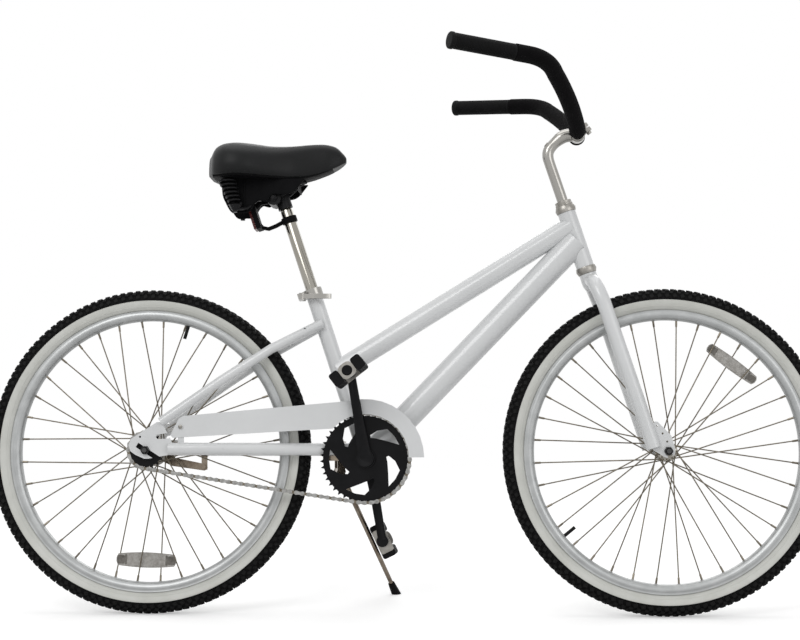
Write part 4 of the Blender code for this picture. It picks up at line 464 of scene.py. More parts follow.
def tyre_detail(name, centre):
    """A casing with pale side walls, and its tread: a middle row of chevrons, then rows of blocks."""
    tyre = Shape()
    split = math.acos((WALL_R - SECTION_MIDDLE_R) / CASING_R)
    half = []
    for step in range(SECTION_STEPS + 1):
        angle = split * step / SECTION_STEPS
        half.append((SECTION_MIDDLE_R + CASING_R * math.cos(angle), CASING_R * math.sin(angle)))
    for step in range(1, SECTION_STEPS + 1):
        angle = split + (WALL_END - split) * step / SECTION_STEPS
        radius = CASING_R + 0.9 - 0.5 * step / SECTION_STEPS
        half.append((SECTION_MIDDLE_R + radius * math.cos(angle), radius * math.sin(angle)))
    half += [(RIM_OUTER_R + 0.4, 12.0), (281.0, 11.4), (280.6, 8.0), (SECTION_MIDDLE_R - 14, 13.0)]
    profile = half + [(r, -h) for r, h in reversed(half[1:])]
    picks = [0] * 8 + [1] * 10 + [0] * 5 + [1] * 10 + [0] * 8
    tyre.revolve(profile, centre, Y, WHEEL_SEGMENTS, picks, X)
    # two thin raised rings on each side wall
    wall_r = CASING_R + 0.6
    for side in (-1, 1):
        for radius in (WALL_R - 0.6, WALL_RING_R):
            cosine = (radius - SECTION_MIDDLE_R) / wall_r
            depth = math.sqrt(1 - cosine * cosine) * wall_r
            ring = [(radius - 0.7, side * (depth - 0.8)), (radius - 0.4, side * (depth + 0.25)),
                    (radius + 0.4, side * (depth + 0.25)), (radius + 0.7, side * (depth - 0.8))]
            tyre.revolve(ring, centre, Y, WHEEL_SEGMENTS, [1] * 4, X)
    for row, (round_section, length, width, phase, height) in enumerate(TREAD_ROWS):
        a, b = length / 2 + 0.5, width / 2 + 0.4
        corners = ((-a, -b), (a, -b), (a, b), (-a, b))
        for side in (-1, 1) if row else (1,):
            across = side * math.radians(round_section)
            for index in range(BLOCKS_PER_ROW):
                out = radial(2 * math.pi * (index + phase + (0.25 if side < 0 else 0)) / BLOCKS_PER_ROW)
                along = out.cross(Y).normalized()
                lift = out * math.cos(across) + Y * math.sin(across)
                skew = 0.32 * side * (1 if row % 2 else -1) if row else 0.25 * (1 if index % 2 else -1)
                long_way = (along + along.cross(lift) * skew).normalized()
                wide_way = lift.cross(long_way).normalized()
                foot = centre + out * SECTION_MIDDLE_R + lift * (CASING_R - BLOCK_SUNK)
                top = foot + lift * (BLOCK_SUNK + height)
                tyre.put([foot + long_way * u + wide_way * v for u, v in corners]
                         + [top + long_way * (u * 0.86) + wide_way * (v * 0.84) for u, v in corners],
                         BLOCK_FACES)
    tyre.make(name + "_tyre_detail", name + "_wheel", [TREAD, IVORY], replaces=[name + "_tyre"],
              slot="tyre_rubber", sharp=28)


def spoke_angles(side, index):
    """The way a spoke trails, and its angles at the rim and at the hub."""
    pitch = 2 * math.pi / SPOKES_PER_SIDE
    trail = 1 if index % 2 == 0 else -1
    at_rim = pitch * index + (0.25 + 0.5 * (side > 0)) * pitch
    return trail, at_rim, at_rim - trail * SPOKE_TRAIL


def hub_hole(centre, flange_r, side, at_hub):
    return centre + radial(at_hub) * (flange_r - 3.4) + Y * (side * FLANGE_Y)


def rim_and_spokes(name, centre, flange_r):
    """The rim with an eyelet for each spoke; each spoke with its bent head and its nipple."""
    body = name + "_wheel"
    rim = Shape()
    half = [(RIM_INNER_R, 0.0), (RIM_INNER_R + 0.2, 4.0), (RIM_INNER_R + 1.6, 8.4),
            (RIM_INNER_R + 4.5, 11.8), (RIM_INNER_R + 8.5, 13.9), (RIM_INNER_R + 10.5, 14.5),
            (RIM_OUTER_R - 6.5, 14.5), (RIM_OUTER_R - 5.6, 14.1), (RIM_OUTER_R - 2.2, 14.1),
            (RIM_OUTER_R - 0.7, 14.5), (RIM_OUTER_R, 13.8), (RIM_OUTER_R - 0.4, 12.6),
            (RIM_OUTER_R - 9, 12.1), (RIM_INNER_R + 4.2, 8.2), (RIM_INNER_R + 3, 0)]
    profile = half + [(r, -h) for r, h in reversed(half[1:-1])]
    rim.revolve(profile, centre, Y, WHEEL_SEGMENTS, None, X)
    spokes = {-1: Shape(), 1: Shape()}
    for side, wires in spokes.items():
        for index in range(SPOKES_PER_SIDE):
            trail, at_rim, at_hub = spoke_angles(side, index)
            hole = hub_hole(centre, flange_r, side, at_hub)
            near = (centre + radial(at_hub) * (flange_r - 2.6)
                    + Y * (side * FLANGE_Y + trail * SPOKE_ELBOW))
            end = centre + radial(at_rim) * (RIM_INNER_R + 2.0) + Y * (side * RIM_HOLE_Y)
            way = (end - near).normalized()
            wires.tube([near + way * 0.5, end], SPOKE_R, 10)
            head_out = Y * trail
            wires.tube([hole - head_out * 2.8, hole + head_out * 0.6, near + way * 2.0], SPOKE_R, 10)
            wires.revolve([(0, 0), (1.9, 0.1), (2.0, 0.8), (1.2, 1.6), (0, 1.8)], hole - head_out * 2.2,
                          -head_out, 10)
            tip = end - way * NIPPLE_LENGTH
            wires.tube([tip, tip + way * 1.5, end - way * 1.0], [1.6, 2.1, 2.2], 8)
            rim_way = radial(at_rim)
            rim.revolve([(2.2, -0.6), (3.6, -0.5), (3.4, 0.5), (2.2, 0.7)],
                        centre + rim_way * (RIM_INNER_R + 0.1) + Y * (side * RIM_HOLE_Y), -rim_way, 12)
    rim.make(name + "_rim_detail", body, RIM, replaces=[name + "_rim"], slot="alloy")
    for side, hand in ((-1, "right"), (1, "left")):
        spokes[side].make(name + "_spokes_detail_" + hand, body, SPOKE,
                          replaces=[name + "_spokes_" + hand], slot="dark_spokes")


def hub_detail(name, centre, profile, flange_r, look):
    """The hub shell, with a dark rim round each spoke hole: a ring in the spokes' metal, painted shade of
    the gap round the spoke in a hole that the shell itself does not have.
    """
    hub = Shape()
    hub.revolve(profile, centre, Y, 72)
    for side in (-1, 1):
        for index in range(SPOKES_PER_SIDE):
            hole = hub_hole(centre, flange_r, side, spoke_angles(side, index)[2])
            # painted shade: a ring of dark spoke metal, wider than the spoke, stands for the shaded gap of
            # the hole
            hub.revolve([(1.25, -1.62), (1.9, -1.6), (1.9, 1.6), (1.25, 1.62)], hole, Y, 10, [1] * 4)
    hub.make(name + "_hub_detail", name + "_wheel", [look, SPOKE], replaces=[name + "_hub"], slot="steel",
             sharp=32)


def spoke_reflector(name, centre, angle, length, height):
    """A clear plate with a raised field and a fine border, a round boss, and smoky clips at its ends."""
    out = radial(angle)
    along = out.cross(Y)
    at = centre + out * REFLECTOR_R
    plate = Shape()
    plate.slab(lens(length, height, 0.72), at, along, out, -1.2, 1.2)
    plate.slab(lens(length * 0.66, height * 0.82, 0.8), at, along, out, -1.7, 1.7)
    for level in (-1.25, 1.25):
        loop = [at + along * u + out * v + Y * level for u, v in lens(length - 2.6, height - 2.6, 0.7)]
        for low, high in zip(loop, loop[1:] + loop[:1]):
            if (high - low).length > 0.01:
                plate.tube([low, high], 0.55, 6)
    plate.revolve([(0, -1.79), (5.2, -1.79), (5.2, 1.79), (0, 1.79)], at, Y, 24)
    for side in (-1, 1):
        clip = at + along * (side * (length / 2 - 9.5))
        plate.slab(rounded(15, height * 0.56, 3, 4), clip, along, out, -1.79, 1.79, 1)
        plate.slab(rounded(4.5, height * 0.66, 1.6, 3), at + along * (side * length * 0.34), along, out,
                   -1.79, 1.79, 1)
    plate.make(name + "_reflector_detail", name + "_wheel", [CLEAR, SMOKE],
               replaces=[name + "_spoke_reflector"], slot="clear_plastic", bevel=0.25)


def wheel(name, centre, hub_profile, hub_look, flange_r, reflector_angle, reflector_size):
    tyre_detail(name, centre)
    rim_and_spokes(name, centre, flange_r)
    hub_detail(name, centre, hub_profile, flange_r, hub_look)
    spoke_reflector(name, centre, math.radians(reflector_angle), *reflector_size)


front_profile = [(5.2, -46.5), (7.0, -46.5), (8.6, -45.6), (8.8, -38.0), (9.6, -33.5), (12.0, -32.6),
                 (19.4, -31.5), (20.0, -30.9), (20.0, -29.2), (19.4, -28.6), (12.5, -27.4), (9.2, -24.5),
                 (8.0, -18.0), (7.8, 0.0)]
front_profile += [(r, -h) for r, h in reversed(front_profile[:-1])]
wheel("front", FRONT, front_profile, CHROME, 20, 52.9, (118, 25))
rear_profile = [(5.2, -35.9), (19.0, -35.9), (22.6, -35.3), (23.0, -34.0), (25.0, -32.6), (30.4, -31.5),
                (31.0, -30.9), (31.0, -29.2), (30.4, -28.5), (24.0, -27.0), (22.0, -24.0), (21.2, -14.0),
                (21.0, 0.0), (21.2, 14.0), (22.0, 24.0), (24.0, 27.0), (30.4, 28.5), (31.0, 29.2),
                (31.0, 30.9), (30.4, 31.5), (25.6, 33.0), (24.0, 37.4), (22.0, 37.9), (5.2, 37.9)]
wheel("rear", REAR, rear_profile, STEEL, 31, 268.5, (122, 31))

# Chain: links along the same loop as the solid band
PITCH = 12.7
RING_TEETH = 44
COG_TEETH = 18
RING_R = PITCH / (2 * math.sin(math.pi / RING_TEETH))
COG_R = PITCH / (2 * math.sin(math.pi / COG_TEETH))
CHAIN_LINE = 47
LINK_R = 4.3
LINK_WAIST = 2.7
CLEAR_OF_RING = 40
CLEAR_OF_COG = 27
reach = math.hypot(CRANK.x, CRANK.z)
slope = math.atan2(CRANK.z, CRANK.x)
wrap = math.asin((RING_R - COG_R) / reach)
straight = reach * math.cos(wrap)
ring_arc = RING_R * (math.pi + 2 * wrap)
cog_arc = COG_R * (math.pi - 2 * wrap)
loop_length = ring_arc + cog_arc + 2 * straight


def around(centre, radius, angle):
    return centre + X * (radius * math.cos(angle)) + Z * (radius * math.sin(angle))


def chain_point(at):
    """The point on the chain's pitch line at a distance along the loop."""
    low = slope - math.pi / 2 - wrap
    top = low + math.pi + 2 * wrap
    if at < ring_arc:
        return around(CRANK, RING_R, low + at / RING_R)
    at -= ring_arc
    if at < straight:
        start = around(CRANK, RING_R, top)
        return start + (around(REAR, COG_R, top) - start) * (at / straight)
    at -= straight
    if at < cog_arc:
        return around(REAR, COG_R, top + at / COG_R)
    at -= cog_arc
    start = around(REAR, COG_R, low)
    return start + (around(CRANK, RING_R, low) - start) * (at / straight)


def link_outline(span):
    """Two round ends and a waist between them."""
    outline = []
    for start, shift, waist in ((90, 0, -LINK_WAIST), (-90, span, LINK_WAIST)):
        for step in range(7):
            angle = math.radians(start + 180 * step / 6)
            outline.append((shift + LINK_R * math.cos(angle), LINK_R * math.sin(angle)))
        outline.append((span * 0.5, waist))
    return outline


links = 2 * round(loop_length / PITCH / 2)
chain = Shape()
pins = [chain_point(loop_length * index / links) - Y * CHAIN_LINE for index in range(links)]
for index, (pin, after) in enumerate(zip(pins, pins[1:] + pins[:1])):
    way = (after - pin).normalized()
    low, high = (2.5, 3.5) if index % 2 else (3.55, 4.5)
    for side in (-1, 1):
        chain.slab(link_outline((after - pin).length), pin + Y * (side * (low + high) / 2), way,
                   way.cross(Y), -(high - low) / 2, (high - low) / 2, index % 2)
    # rollers and whole pins on the straight runs; near the teeth only studs outside the plates
    at = loop_length * index / links
    if (ring_arc + CLEAR_OF_RING < at < ring_arc + straight - CLEAR_OF_COG
            or ring_arc + straight + cog_arc + CLEAR_OF_COG < at < loop_length - CLEAR_OF_RING):
        chain.revolve([(0, -2.4), (3.9, -2.4), (3.9, 2.4), (0, 2.4)], pin, Y, 12, [1] * 3)
        chain.revolve([(0, -4.9), (1.6, -4.9), (1.8, -4.6), (1.8, 4.6), (1.6, 4.9), (0, 4.9)], pin, Y, 10)
    else:
        for side in (-1, 1):
            chain.revolve([(0, 2.6), (1.8, 2.6), (1.8, 4.6), (1.6, 4.9), (0, 4.9)], pin, Y * side, 10)
chain.make("chain_links", "frame", [CHAIN, SPOKE], replaces=["chain"], slot="steel")

# Handlebar, foam sleeves and grips
CLAMP_MIDDLE = steer_point(72, 203.5)
BAR_BEND = Vector((806, 221.5, 753.3))
BAR_END = Vector((617.4, 311, 769.1))
BAR_R = 11.1
BAR_BORE = 9.1
BAR_ELBOW = 45
BAR_STEPS = 14
SLEEVE_R = 16.95
SLEEVE_RIM = 1.2
SLEEVE_RIM_R = 15.6
SLEEVE_BORE = 11.4
SLEEVE_STARTS = {"right": 28, "left": 21}
GRIP_LENGTH = 134


def bar_route(side):
    """The bar's centre line from the middle of the clamp out to one end."""
    flip = Matrix.Diagonal((1, side, 1))
    bend = flip @ BAR_BEND
    end = flip @ BAR_END
    out = CLAMP_MIDDLE + Y * (side * 27)
    before = bend - (bend - out).normalized() * BAR_ELBOW
    after = bend + (end - bend).normalized() * BAR_ELBOW
    control = (out + before) / 2 + X * 12
    made = [CLAMP_MIDDLE, CLAMP_MIDDLE + Y * (side * 23)]
    made += [bent(out, control, before, step / BAR_STEPS) for step in range(1, BAR_STEPS)]
    made += [bent(before, bend, after, step / BAR_STEPS) for step in range(BAR_STEPS + 1)]
    return made + [end]


def part_of(route, start, end):
    """The stretch of a route between two distances along it."""
    made = []
    gone = 0.0
    for low, high in zip(route, route[1:]):
        length = (high - low).length
        for at in (start, end):
            if gone <= at < gone + length and (at == start or made):
                made.append(low + (high - low) * ((at - gone) / length))
        if start < gone + length < end:
            made.append(high)
        gone += length
    return made


routes = {"right": bar_route(-1), "left": bar_route(1)}
bar = Shape()
bar.tube(routes["right"][::-1] + routes["left"][1:], BAR_R, 32, BAR_BORE)
bar.make("handlebar_detail", "steering", BLACK_METAL, replaces=["handlebar"], slot="black_metal")
for hand, route in routes.items():
    length = sum((b - a).length for a, b in zip(route, route[1:]))
    grip_start = length - GRIP_LENGTH
    line = part_of(route, SLEEVE_STARTS[hand], grip_start - 0.4)
    # a short step at each end rounds the sleeve's rim
    inset = [line[0] + (line[1] - line[0]).normalized() * SLEEVE_RIM,
             line[-1] - (line[-1] - line[-2]).normalized() * SLEEVE_RIM]
    line = [line[0], inset[0]] + line[1:-1] + [inset[1], line[-1]]
    radii = [SLEEVE_RIM_R] + [SLEEVE_R] * (len(line) - 2) + [SLEEVE_RIM_R]
    sleeve = Shape().tube(line, radii, 32, SLEEVE_BORE)
    sleeve.make("foam_detail_" + hand, "steering", FOAM, replaces=["foam_sleeve_" + hand], slot="foam")
    profile = [(0, 134.6), (SLEEVE_BORE, 134.6), (SLEEVE_BORE, 0.3), (15.4, 0.3), (15.9, 1.2), (15.9, 4.0),
               (15.3, 4.6)]
    at = 5.4
    while at < 126:
        profile += [(15.0, at), (15.75, at + 0.5), (15.75, at + 1.6), (15.0, at + 2.1)]
        at += 2.9
    profile += [(15.3, 128.6), (16.8, 130.2), (17.0, 132.6), (16.6, 136.4), (15.0, 137.8), (9.0, 138.0),
                (0, 138.0)]
    grip = Shape()
    foot = part_of(route, grip_start, length - 1e-6)[0]
    grip.revolve(profile, foot, (route[-1] - route[-2]).normalized(), 40)
    grip.make("grip_detail_" + hand, "steering", GRIP, replaces=["grip_" + hand], slot="grip_rubber",
              sharp=30)

# Stem: polished neck with a split clamp, its bolt and the wedge bolt on top
NECK_R = 11.1
neck = [steer_point(ahead, up) for ahead, up in
        ((0, 5), (0, 135.5), (0, 166), (1, 180), (6.5, 191.5), (21, 201.5), (42, 209.5), (60, 208))]
neck_line = [neck[0]] + smooth_path(neck[1:] + [CLAMP_MIDDLE])[:-1]
swell = (0, 0, 0.4, 0.6, 0.2, 2.4, 2.6, -0.4)
neck_radii = [NECK_R] + [NECK_R + low + (high - low) * ease(step / 6)
                         for low, high in zip(swell, swell[1:]) for step in range(6)]
stem = Shape()
stem.tube(neck_line, neck_radii, 40)
stem.revolve([(11.4, -18), (13.2, -18), (13.8, -17.2), (14.0, -13), (15.6, -11), (15.6, 11), (14.0, 13),
              (13.8, 17.2), (13.2, 18), (11.4, 18)], CLAMP_MIDDLE, Y, 48)
ear_way = (X * 0.78 + Z * 0.62).normalized()
ear_middle = CLAMP_MIDDLE + ear_way * 22
ear_up = ear_way.cross(Y)
for side in (-1, 1):
    stem.slab(rounded(17, 19, 5, 4), ear_middle + ear_up * (side * 5.3), ear_way, Y, -3.9, 3.9)
stem.revolve([(0, -14), (4.6, -14), (4.9, -13.4), (4.9, -9), (3.0, -9), (3.0, 9), (5.2, 9), (5.2, 13.4),
              (3.0, 14), (0, 12.2)], ear_middle, ear_up, 24, [1] * 9)
top_way = (STEER_UP * 0.836 + STEER_AHEAD * -0.549).normalized()
stem.revolve([(0, -4), (5.6, -4), (5.6, 0.6), (4.8, 1.2), (3.2, 1.2), (2.9, -1.0), (0, -1.0)],
             steer_point(5.5, 205.5), top_way, 24, [1] * 6)
stem.make("stem_detail", "steering", [ALLOY, STEEL], replaces=["stem"], slot="alloy", sharp=35, bevel=0.5)

# Saddle: a padded cover, closed underneath, on a moulded base. The marks are (share of the length, value).
SADDLE_BACK = 118
SADDLE_LENGTH = 279
SADDLE_HALF = 104
SADDLE_TOP = 635
SADDLE_LOW = 555
WIDTH_MARKS = ((0.0, 0.6), (0.08, 0.88), (0.2, 1.0), (0.32, 0.93), (0.46, 0.62), (0.6, 0.38), (0.78, 0.29),
               (0.92, 0.25), (1.0, 0.12))
TOP_MARKS = ((0.0, -40), (0.03, -20), (0.09, -8), (0.2, -5), (0.33, -8), (0.46, -12), (0.6, -10),
             (0.75, -6), (0.86, -6), (0.95, -14), (1.0, -31))
LOW_MARKS = ((0.0, 3), (0.06, -1), (0.15, 0), (0.62, 0), (0.72, 3), (0.82, 10), (0.93, 21), (1.0, 33))


def averaged(t, marks, offsets, eased=False):
    """The value between marks, averaged over a few places near t so that the line has no corners."""
    total = 0.0
    for offset in offsets:
        near = min(max(t + offset, 0), 1)
        (a, low), (b, high) = next(pair for pair in zip(marks, marks[1:]) if near <= pair[1][0])
        share = (near - a) / (b - a)
        total += low + (high - low) * (ease(share) if eased else share)
    return total / len(offsets)


def saddle_width(t):
    return averaged(t, WIDTH_MARKS, (-0.06, -0.03, 0, 0.03, 0.06), eased=True) * SADDLE_HALF


def saddle_top(t):
    return SADDLE_TOP + averaged(t, TOP_MARKS, (-0.03, 0, 0.03))


def saddle_low(t):
    return SADDLE_LOW + averaged(t, LOW_MARKS, (-0.04, 0, 0.04))


def saddle_cover():
    stations = 44
    points = 41
    rings = []
    for step in range(stations + 1):
        t = 0.5 - 0.5 * math.cos(math.pi * step / stations)
        x = SADDLE_BACK + SADDLE_LENGTH * t
        nose = math.sqrt(max(1 - max(0.0, (t - 0.93) / 0.07) ** 2, 0.0)) * 0.66 + 0.34
        end_pull = 1 - 0.5 * math.exp(-((t / 0.03) ** 2)) - 0.3 * math.exp(-(((1 - t) / 0.02) ** 2))
        half = saddle_width(t) * end_pull * (0.25 + 0.75 * nose)
        top = saddle_top(t)
        low = saddle_low(t) + 1.0
        middle = low + (top - low) * 0.42
        low, top = middle + (low - middle) * nose, middle + (top - middle) * nose
        ring = []
        for point in range(points):
            angle = math.pi * point / (points - 1)
            across = -math.cos(angle)
            lift = math.sin(angle) ** 0.6
            y = half * math.copysign(abs(across) ** 0.8, across)
            # a shallow groove along the middle of the rear half, and a rolled edge at the foot
            groove = 2.6 * math.exp(-((y / 13.0) ** 2)) * max(0, 1 - abs(t - 0.42) / 0.4)
            z = low + (top - low) * (0.1 + 0.9 * lift) - groove
            if lift < 0.36:
                y *= 1 + 0.012 * math.sin(lift / 0.36 * math.pi)
            ring.append(Vector((x, y, z)))
        for point in range(points - 2, 0, -2):
            across = -math.cos(math.pi * point / (points - 1))
            ring.append(Vector((x, half * 0.93 * math.copysign(abs(across) ** 0.8, across), low)))
        rings.append(ring)
    return Shape().loft(rings)


cover = saddle_cover().make("saddle_pad", "saddle", VINYL, replaces=["saddle_cover"], slot="saddle_vinyl",
                            sharp=60, subdivide=1)

# Saddle base: the pan under the pad, two moulded cheeks with ribs beside the rails, and a front wall
PAN_DEPTH = 5.0
PAN_STEPS = 24
CHEEK_Y = 39.2
CHEEK_TOP = 550
rings = []
for step in range(PAN_STEPS + 1):
    t = 0.045 + 0.86 * step / PAN_STEPS
    half = saddle_width(t) * 0.88
    top = saddle_low(t) + 1.4
    deep = PAN_DEPTH - max(0.0, 4.2 * (t - 0.66) / 0.285)
    rings.append([Vector((SADDLE_BACK + SADDLE_LENGTH * t, y, z)) for y, z in
                  ((-half, top), (half, top), (half * 0.98, top - deep * 0.7), (half * 0.9, top - deep),
                   (-half * 0.9, top - deep), (-half * 0.98, top - deep * 0.7))])
base = Shape().loft(rings)
cheek = [Vector((x, 0, z)) for x, z in
         ((146, 552), (149, 520), (155, 505), (163, 490), (170, 483.5), (178, 483), (186, 484),
          (196, 484), (203, 487), (208, 494), (213, 503), (221, 509.5), (229, 508), (236, 507.5),
          (244, 518), (252, 523), (262, 522), (272, 522), (283, 523), (292, 527), (299, 534),
          (306, 543), (313, 552))]
outline = [(p.x, p.z) for p in smooth_path(cheek, 3)]
for side in (-1, 1):
    base.slab(outline, Y * (side * CHEEK_Y), X, Z, -1.3, 1.3)
    base.tube([Vector((u, side * CHEEK_Y, v)) for u, v in outline], 1.9, 8)
    for x, foot in ((160, 496), (176, 486), (192, 486)):
        rib_middle = Vector((x, side * (CHEEK_Y + 2.2), (foot + CHEEK_TOP) / 2))
        base.block(rib_middle, X, Y, (2.4, 3.0, CHEEK_TOP - foot))
base.block(Vector((300, 0, 541.5)), Y, Z, (78, 21, 2.6))
base.make("saddle_base_detail", "saddle", PLASTIC, replaces=["saddle_base"], slot="black_plastic",
          sharp=35)

# Saddle springs: each leans back and widens as it rises to the pan
SPRING_FOOT = 497
SPRING_TURNS = 6
SPRING_WIRE = 2.3
SPRING_LOW_R = 11.5
SPRING_HIGH_R = 17
SPRING_LEAN = 18
STEPS_PER_TURN = 36
spring_height = SADDLE_LOW - PAN_DEPTH - SPRING_FOOT - 2 * GAP
for hand, side in (("right", -1), ("left", 1)):
    foot = Vector((176, side * 58, SPRING_FOOT))
    route = []
    for step in range(SPRING_TURNS * STEPS_PER_TURN + 1):
        t = step / (SPRING_TURNS * STEPS_PER_TURN)
        angle = 2 * math.pi * SPRING_TURNS * t
        radius = SPRING_LOW_R + (SPRING_HIGH_R - SPRING_LOW_R) * t
        place = foot - X * (SPRING_LEAN * t) + Z * (SPRING_WIRE + (spring_height - 2 * SPRING_WIRE) * t)
        route.append(place + X * (radius * math.cos(angle)) + Y * (radius * math.sin(angle)))
    coil = Shape().tube(route, SPRING_WIRE, 12)
    coil.make("spring_coil_" + hand, "saddle", BLACK_METAL, replaces=["saddle_spring_" + hand],
              slot="black_metal")

# Pedals: two ribbed rubber blocks, steel end plates, and a barrel with its cap, all on the crank's axle
CRANK_LENGTH = 171
CRANK_ANGLE = math.radians(99.4)
PEDAL_START_Y = 83.3
PEDAL_TILTS = {"right": math.radians(38), "left": math.radians(-64)}
PEDAL_MIDDLE = 46
PLATE_FROM_MIDDLE = 44.6
BLOCK_FROM_MIDDLE = 26
RIBS = 15
OUTER_PLATE = ((1, -0.55), (1, 0), (1, 0.55), (0.82, 0.85), (0.5, 1), (0, 1.04), (-0.5, 1), (-0.82, 0.85),
               (-1, 0.55), (-1, 0), (-1, -0.55), (-0.82, -0.85), (-0.5, -1), (0, -1.04), (0.5, -1),
               (0.82, -0.85))
INNER_PLATE = ((1, -0.7), (1, 0), (1, 0.7), (0.92, 1), (0.5, 1), (0, 1), (-0.5, 1), (-0.92, 1), (-1, 0.7),
               (-1, 0), (-1, -0.7), (-0.92, -1), (-0.5, -1), (0, -1), (0.5, -1), (0.92, -1))
for hand, side in (("right", -1), ("left", 1)):
    tilt = PEDAL_TILTS[hand]
    start = CRANK + radial(CRANK_ANGLE) * -side * CRANK_LENGTH + Y * (side * PEDAL_START_Y)
    fore = radial(tilt)
    rise = fore.cross(-Y)
    pedal = Shape()
    middle = start + Y * (side * PEDAL_MIDDLE)
    for end in (-1, 1):
        block_middle = middle + fore * (end * BLOCK_FROM_MIDDLE)
        pedal.slab(rounded(20.4, 26.4, 3, 4), block_middle, fore, rise, -43.4, 43.4)
        for step in range(RIBS):
            at = -42.6 + 85.2 * step / (RIBS - 1)
            pedal.slab(rounded(20.8, 28.6, 5.0, 4), block_middle + Y * at, fore, rise, -1.9, 1.9)
    plate = [(a * 15.5, b * 15) for a, b in OUTER_PLATE]
    pedal.ring_plate(plate, 8.6, middle + Y * (side * PLATE_FROM_MIDDLE), fore, rise, 1.6, 1)
    plate = [(a * 25.6, b * 14.2) for a, b in INNER_PLATE]
    pedal.ring_plate(plate, 6.2, middle - Y * (side * PLATE_FROM_MIDDLE), fore, rise, 1.4, 1)
    pedal.revolve([(6.2, 1.2), (9.6, 1.2), (10.0, 3.0), (10.0, 14), (8.8, 16), (8.8, 74), (10.0, 76),
                   (10.0, 87.0), (6.2, 87.0)], start, Y * side, 32)
    pedal.revolve([(0, 87.2), (10.2, 87.2), (10.4, 92.4), (9.6, 94.8), (8.0, 96.0), (5.0, 95.6),
                   (0, 95.5)], start, Y * side, 32)
    pedal.make("pedal_detail_" + hand, hand + "_pedal", [PEDAL_RUBBER, STEEL, DARK_NUT],
               replaces=["pedal_" + hand], slot="black_plastic", sharp=35, bevel=0.3)


# Small fittings on the guard and the right seat stay, set on the surface found there
def surface(node, x, z):
    """Where a line across the bicycle first meets a node, coming from the right."""
    turned = BIKE.inverted() @ nodes[node].matrix_world
    back = turned.inverted()
    start = Vector((x, -400, z))
    return turned @ nodes[node].ray_cast(back @ start, (back.to_3x3() @ Y).normalized())[1]


spot = surface("chain_guard", 70.3, 46.8)
screw = Shape()
screw.revolve([(0, -0.5), (4.4, -0.5), (4.4, 0.5), (3.4, 1.6), (1.4, 2.0), (1.2, 1.2), (0, 1.2)], spot,
              -Y, 24)
screw.block(spot - Y * 1.9, X, Z, (5.2, 0.9, 0.5), 1)
screw.make("guard_screw_70", "frame", [STEEL, DARK_NUT], slot="steel", sharp=35)
spot = surface("seat_stays", 316.8, 246)
eyelet = Shape()
eyelet.revolve([(1.9, -0.8), (4.2, -0.8), (4.2, 0.5), (3.6, 1.0), (2.1, 1.0)], spot, -Y, 24)
eyelet.revolve([(0, -0.6), (1.9, -0.6), (1.9, 0.1), (0, 0.1)], spot, -Y, 16, [1] * 4)
eyelet.make("stay_eyelet", "frame", [WHITE, DARK_NUT], slot="white", sharp=35)

# Looks of the solids that stay
dress(WHITE, "head_tube", "top_tube", "down_tube", "seat_tube", "bottom_bracket_shell", "chain_stays",
      "seat_stays", "fork")
dress(WHITE, "chain_guard", bevel=0.4)
dress(STEEL, "bottom_bracket_cartridge", "headset_upper_cup", "headset_lower_cup", "headset_locknut")
dress(STAND_CHROME, "kickstand_bracket", "coaster_brake_arm", bevel=0.5)
dress(ALLOY, "seat_clamp", "seat_clamp_lever", bevel=0.6)
dress(CHROME, "seat_post")
dress(STAND_CHROME, "kickstand_leg")
dress(DARK_NUT, "rear_axle_nut_right", "rear_axle_nut_left", "front_axle_nut_right", "front_axle_nut_left",
      bevel=0.4)
dress(DARK_NUT, "rear_axle", "front_axle")
dress(BLACK_METAL, "crank", "chainring", "rear_sprocket", bevel=0.3)
dress(BLACK_METAL, "saddle_rails", "saddle_clamp")
dress(PLASTIC, "reflector_bracket", bevel=0.8)
dress(RED, "rear_reflector", bevel=0.8)
dress(TUBE_RUBBER, "front_inner_tube", "rear_inner_tube")
dress(GRIP, "kickstand_foot", bevel=0.6)

# Floor, light and camera
PURE_WHITE = (1, 1, 1, 1)
floor_mesh = bpy.data.meshes.new("floor")
floor_mesh.from_pydata([(-14, -9, 0), (14, -9, 0), (14, 22, 0), (-14, 22, 0)], [], [(0, 1, 2, 3)])
floor = bpy.data.objects.new("floor", floor_mesh)
bpy.context.scene.collection.objects.link(floor)
floor_look, tree, skin = shade("floor_paint")
grain = add(tree, "ShaderNodeTexNoise", {"Scale": 3.0, "Detail": 4.0}).outputs["Fac"]
feed(tree, skin, {"Roughness": 0.9, "Specular IOR Level": 0.1,
                  "Base Color": ramp(tree, grain, (0.86, 0.86, 0.86), (0.89, 0.89, 0.89))})
paint = skin.outputs[0]
# for the camera the floor is lifted to white and fades into the backdrop, and keeps its soft shadow
glow = add(tree, "ShaderNodeEmission", {"Color": PURE_WHITE, "Strength": 0.36}).outputs[0]
lifted = add(tree, "ShaderNodeAddShader", {0: paint, 1: glow}).outputs[0]
rays = tree.nodes.new("ShaderNodeLightPath").outputs
near_floor = add(tree, "ShaderNodeMixShader", {0: rays["Is Camera Ray"], 1: paint, 2: lifted}).outputs[0]
spot = tree.nodes.new("ShaderNodeTexCoord").outputs["Object"]
distance = add(tree, "ShaderNodeVectorMath", {0: spot}, operation="LENGTH").outputs["Value"]
fade = add(tree, "ShaderNodeMapRange", {"Value": distance, "From Min": 0.9, "From Max": 2.6},
           interpolation_type="SMOOTHSTEP").outputs["Result"]
unseen = tree.nodes.new("ShaderNodeBsdfTransparent").outputs[0]
whole_floor = add(tree, "ShaderNodeMixShader", {0: fade, 1: near_floor, 2: unseen}).outputs[0]
feed(tree, tree.nodes["Material Output"], {"Surface": whole_floor})
floor_mesh.materials.append(floor_look)

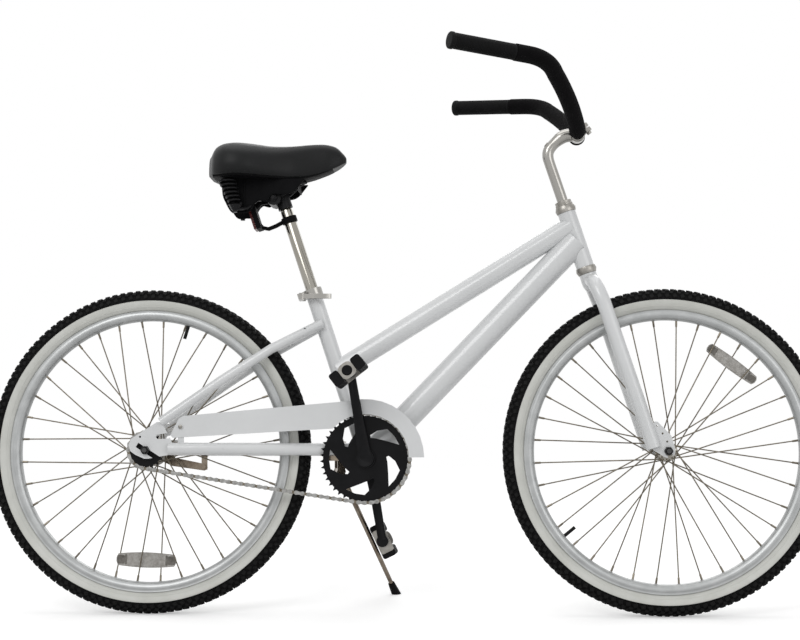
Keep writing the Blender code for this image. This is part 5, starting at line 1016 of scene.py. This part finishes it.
# The world: plain white to the camera and in reflections, dimmer as a light
world = bpy.data.worlds.new("studio")
bpy.context.scene.world = world
world.use_nodes = True
tree = world.node_tree
tree.nodes.clear()
rays = tree.nodes.new("ShaderNodeLightPath").outputs
seen = add(tree, "ShaderNodeMath", {0: rays["Is Camera Ray"], 1: rays["Is Glossy Ray"]},
           operation="MAXIMUM").outputs[0]
seen = add(tree, "ShaderNodeMath", {0: seen, 1: rays["Is Transmission Ray"]},
           operation="MAXIMUM").outputs[0]
light = add(tree, "ShaderNodeBackground", {"Color": PURE_WHITE, "Strength": 0.44}).outputs[0]
backdrop = add(tree, "ShaderNodeBackground", {"Color": PURE_WHITE, "Strength": 1.0}).outputs[0]
mixed = add(tree, "ShaderNodeMixShader", {0: seen, 1: light, 2: backdrop}).outputs[0]
add(tree, "ShaderNodeOutputWorld", {0: mixed})


def lamp(name, place, target, size, power):
    data = bpy.data.lights.new(name, "AREA")
    data.shape = "RECTANGLE"
    data.size, data.size_y = size
    data.energy = power
    made = bpy.data.objects.new(name, data)
    made.location = place
    made.rotation_euler = (Vector(target) - Vector(place)).to_track_quat("-Z", "Y").to_euler()
    bpy.context.scene.collection.objects.link(made)


lamp("key", (-1.8, -3.4, 3.4), (0, 0, 0.5), (2.4, 2.0), 62)
lamp("fill", (3.0, -3.0, 2.0), (0, 0, 0.5), (2.4, 2.0), 26)
lamp("top", (0, 0.4, 3.8), (0, 0, 0.4), (3.2, 2.2), 34)
lamp("rim", (0.6, 3.2, 2.4), (0, 0, 0.6), (2.6, 1.6), 22)

CAMERA_FROM_AXLE = Vector((679.2, -3586.0, 379.8))
camera_data = bpy.data.cameras.new("camera")
camera_data.sensor_width = 36
camera_data.lens = 80.0
camera_data.clip_end = 100
camera = bpy.data.objects.new("camera", camera_data)
bpy.context.scene.collection.objects.link(camera)
turned = Matrix.Identity(4)
for degrees, axis in ((2.71, "Z"), (-1.82, "X"), (0.19, "Y"), (90, "X")):
    turned = turned @ Matrix.Rotation(math.radians(degrees), 4, axis)
camera.matrix_world = Matrix.Translation(AXLE_AT + CAMERA_FROM_AXLE * MM) @ turned
bpy.context.scene.camera = camera
bpy.context.scene.view_settings.view_transform = "Standard"
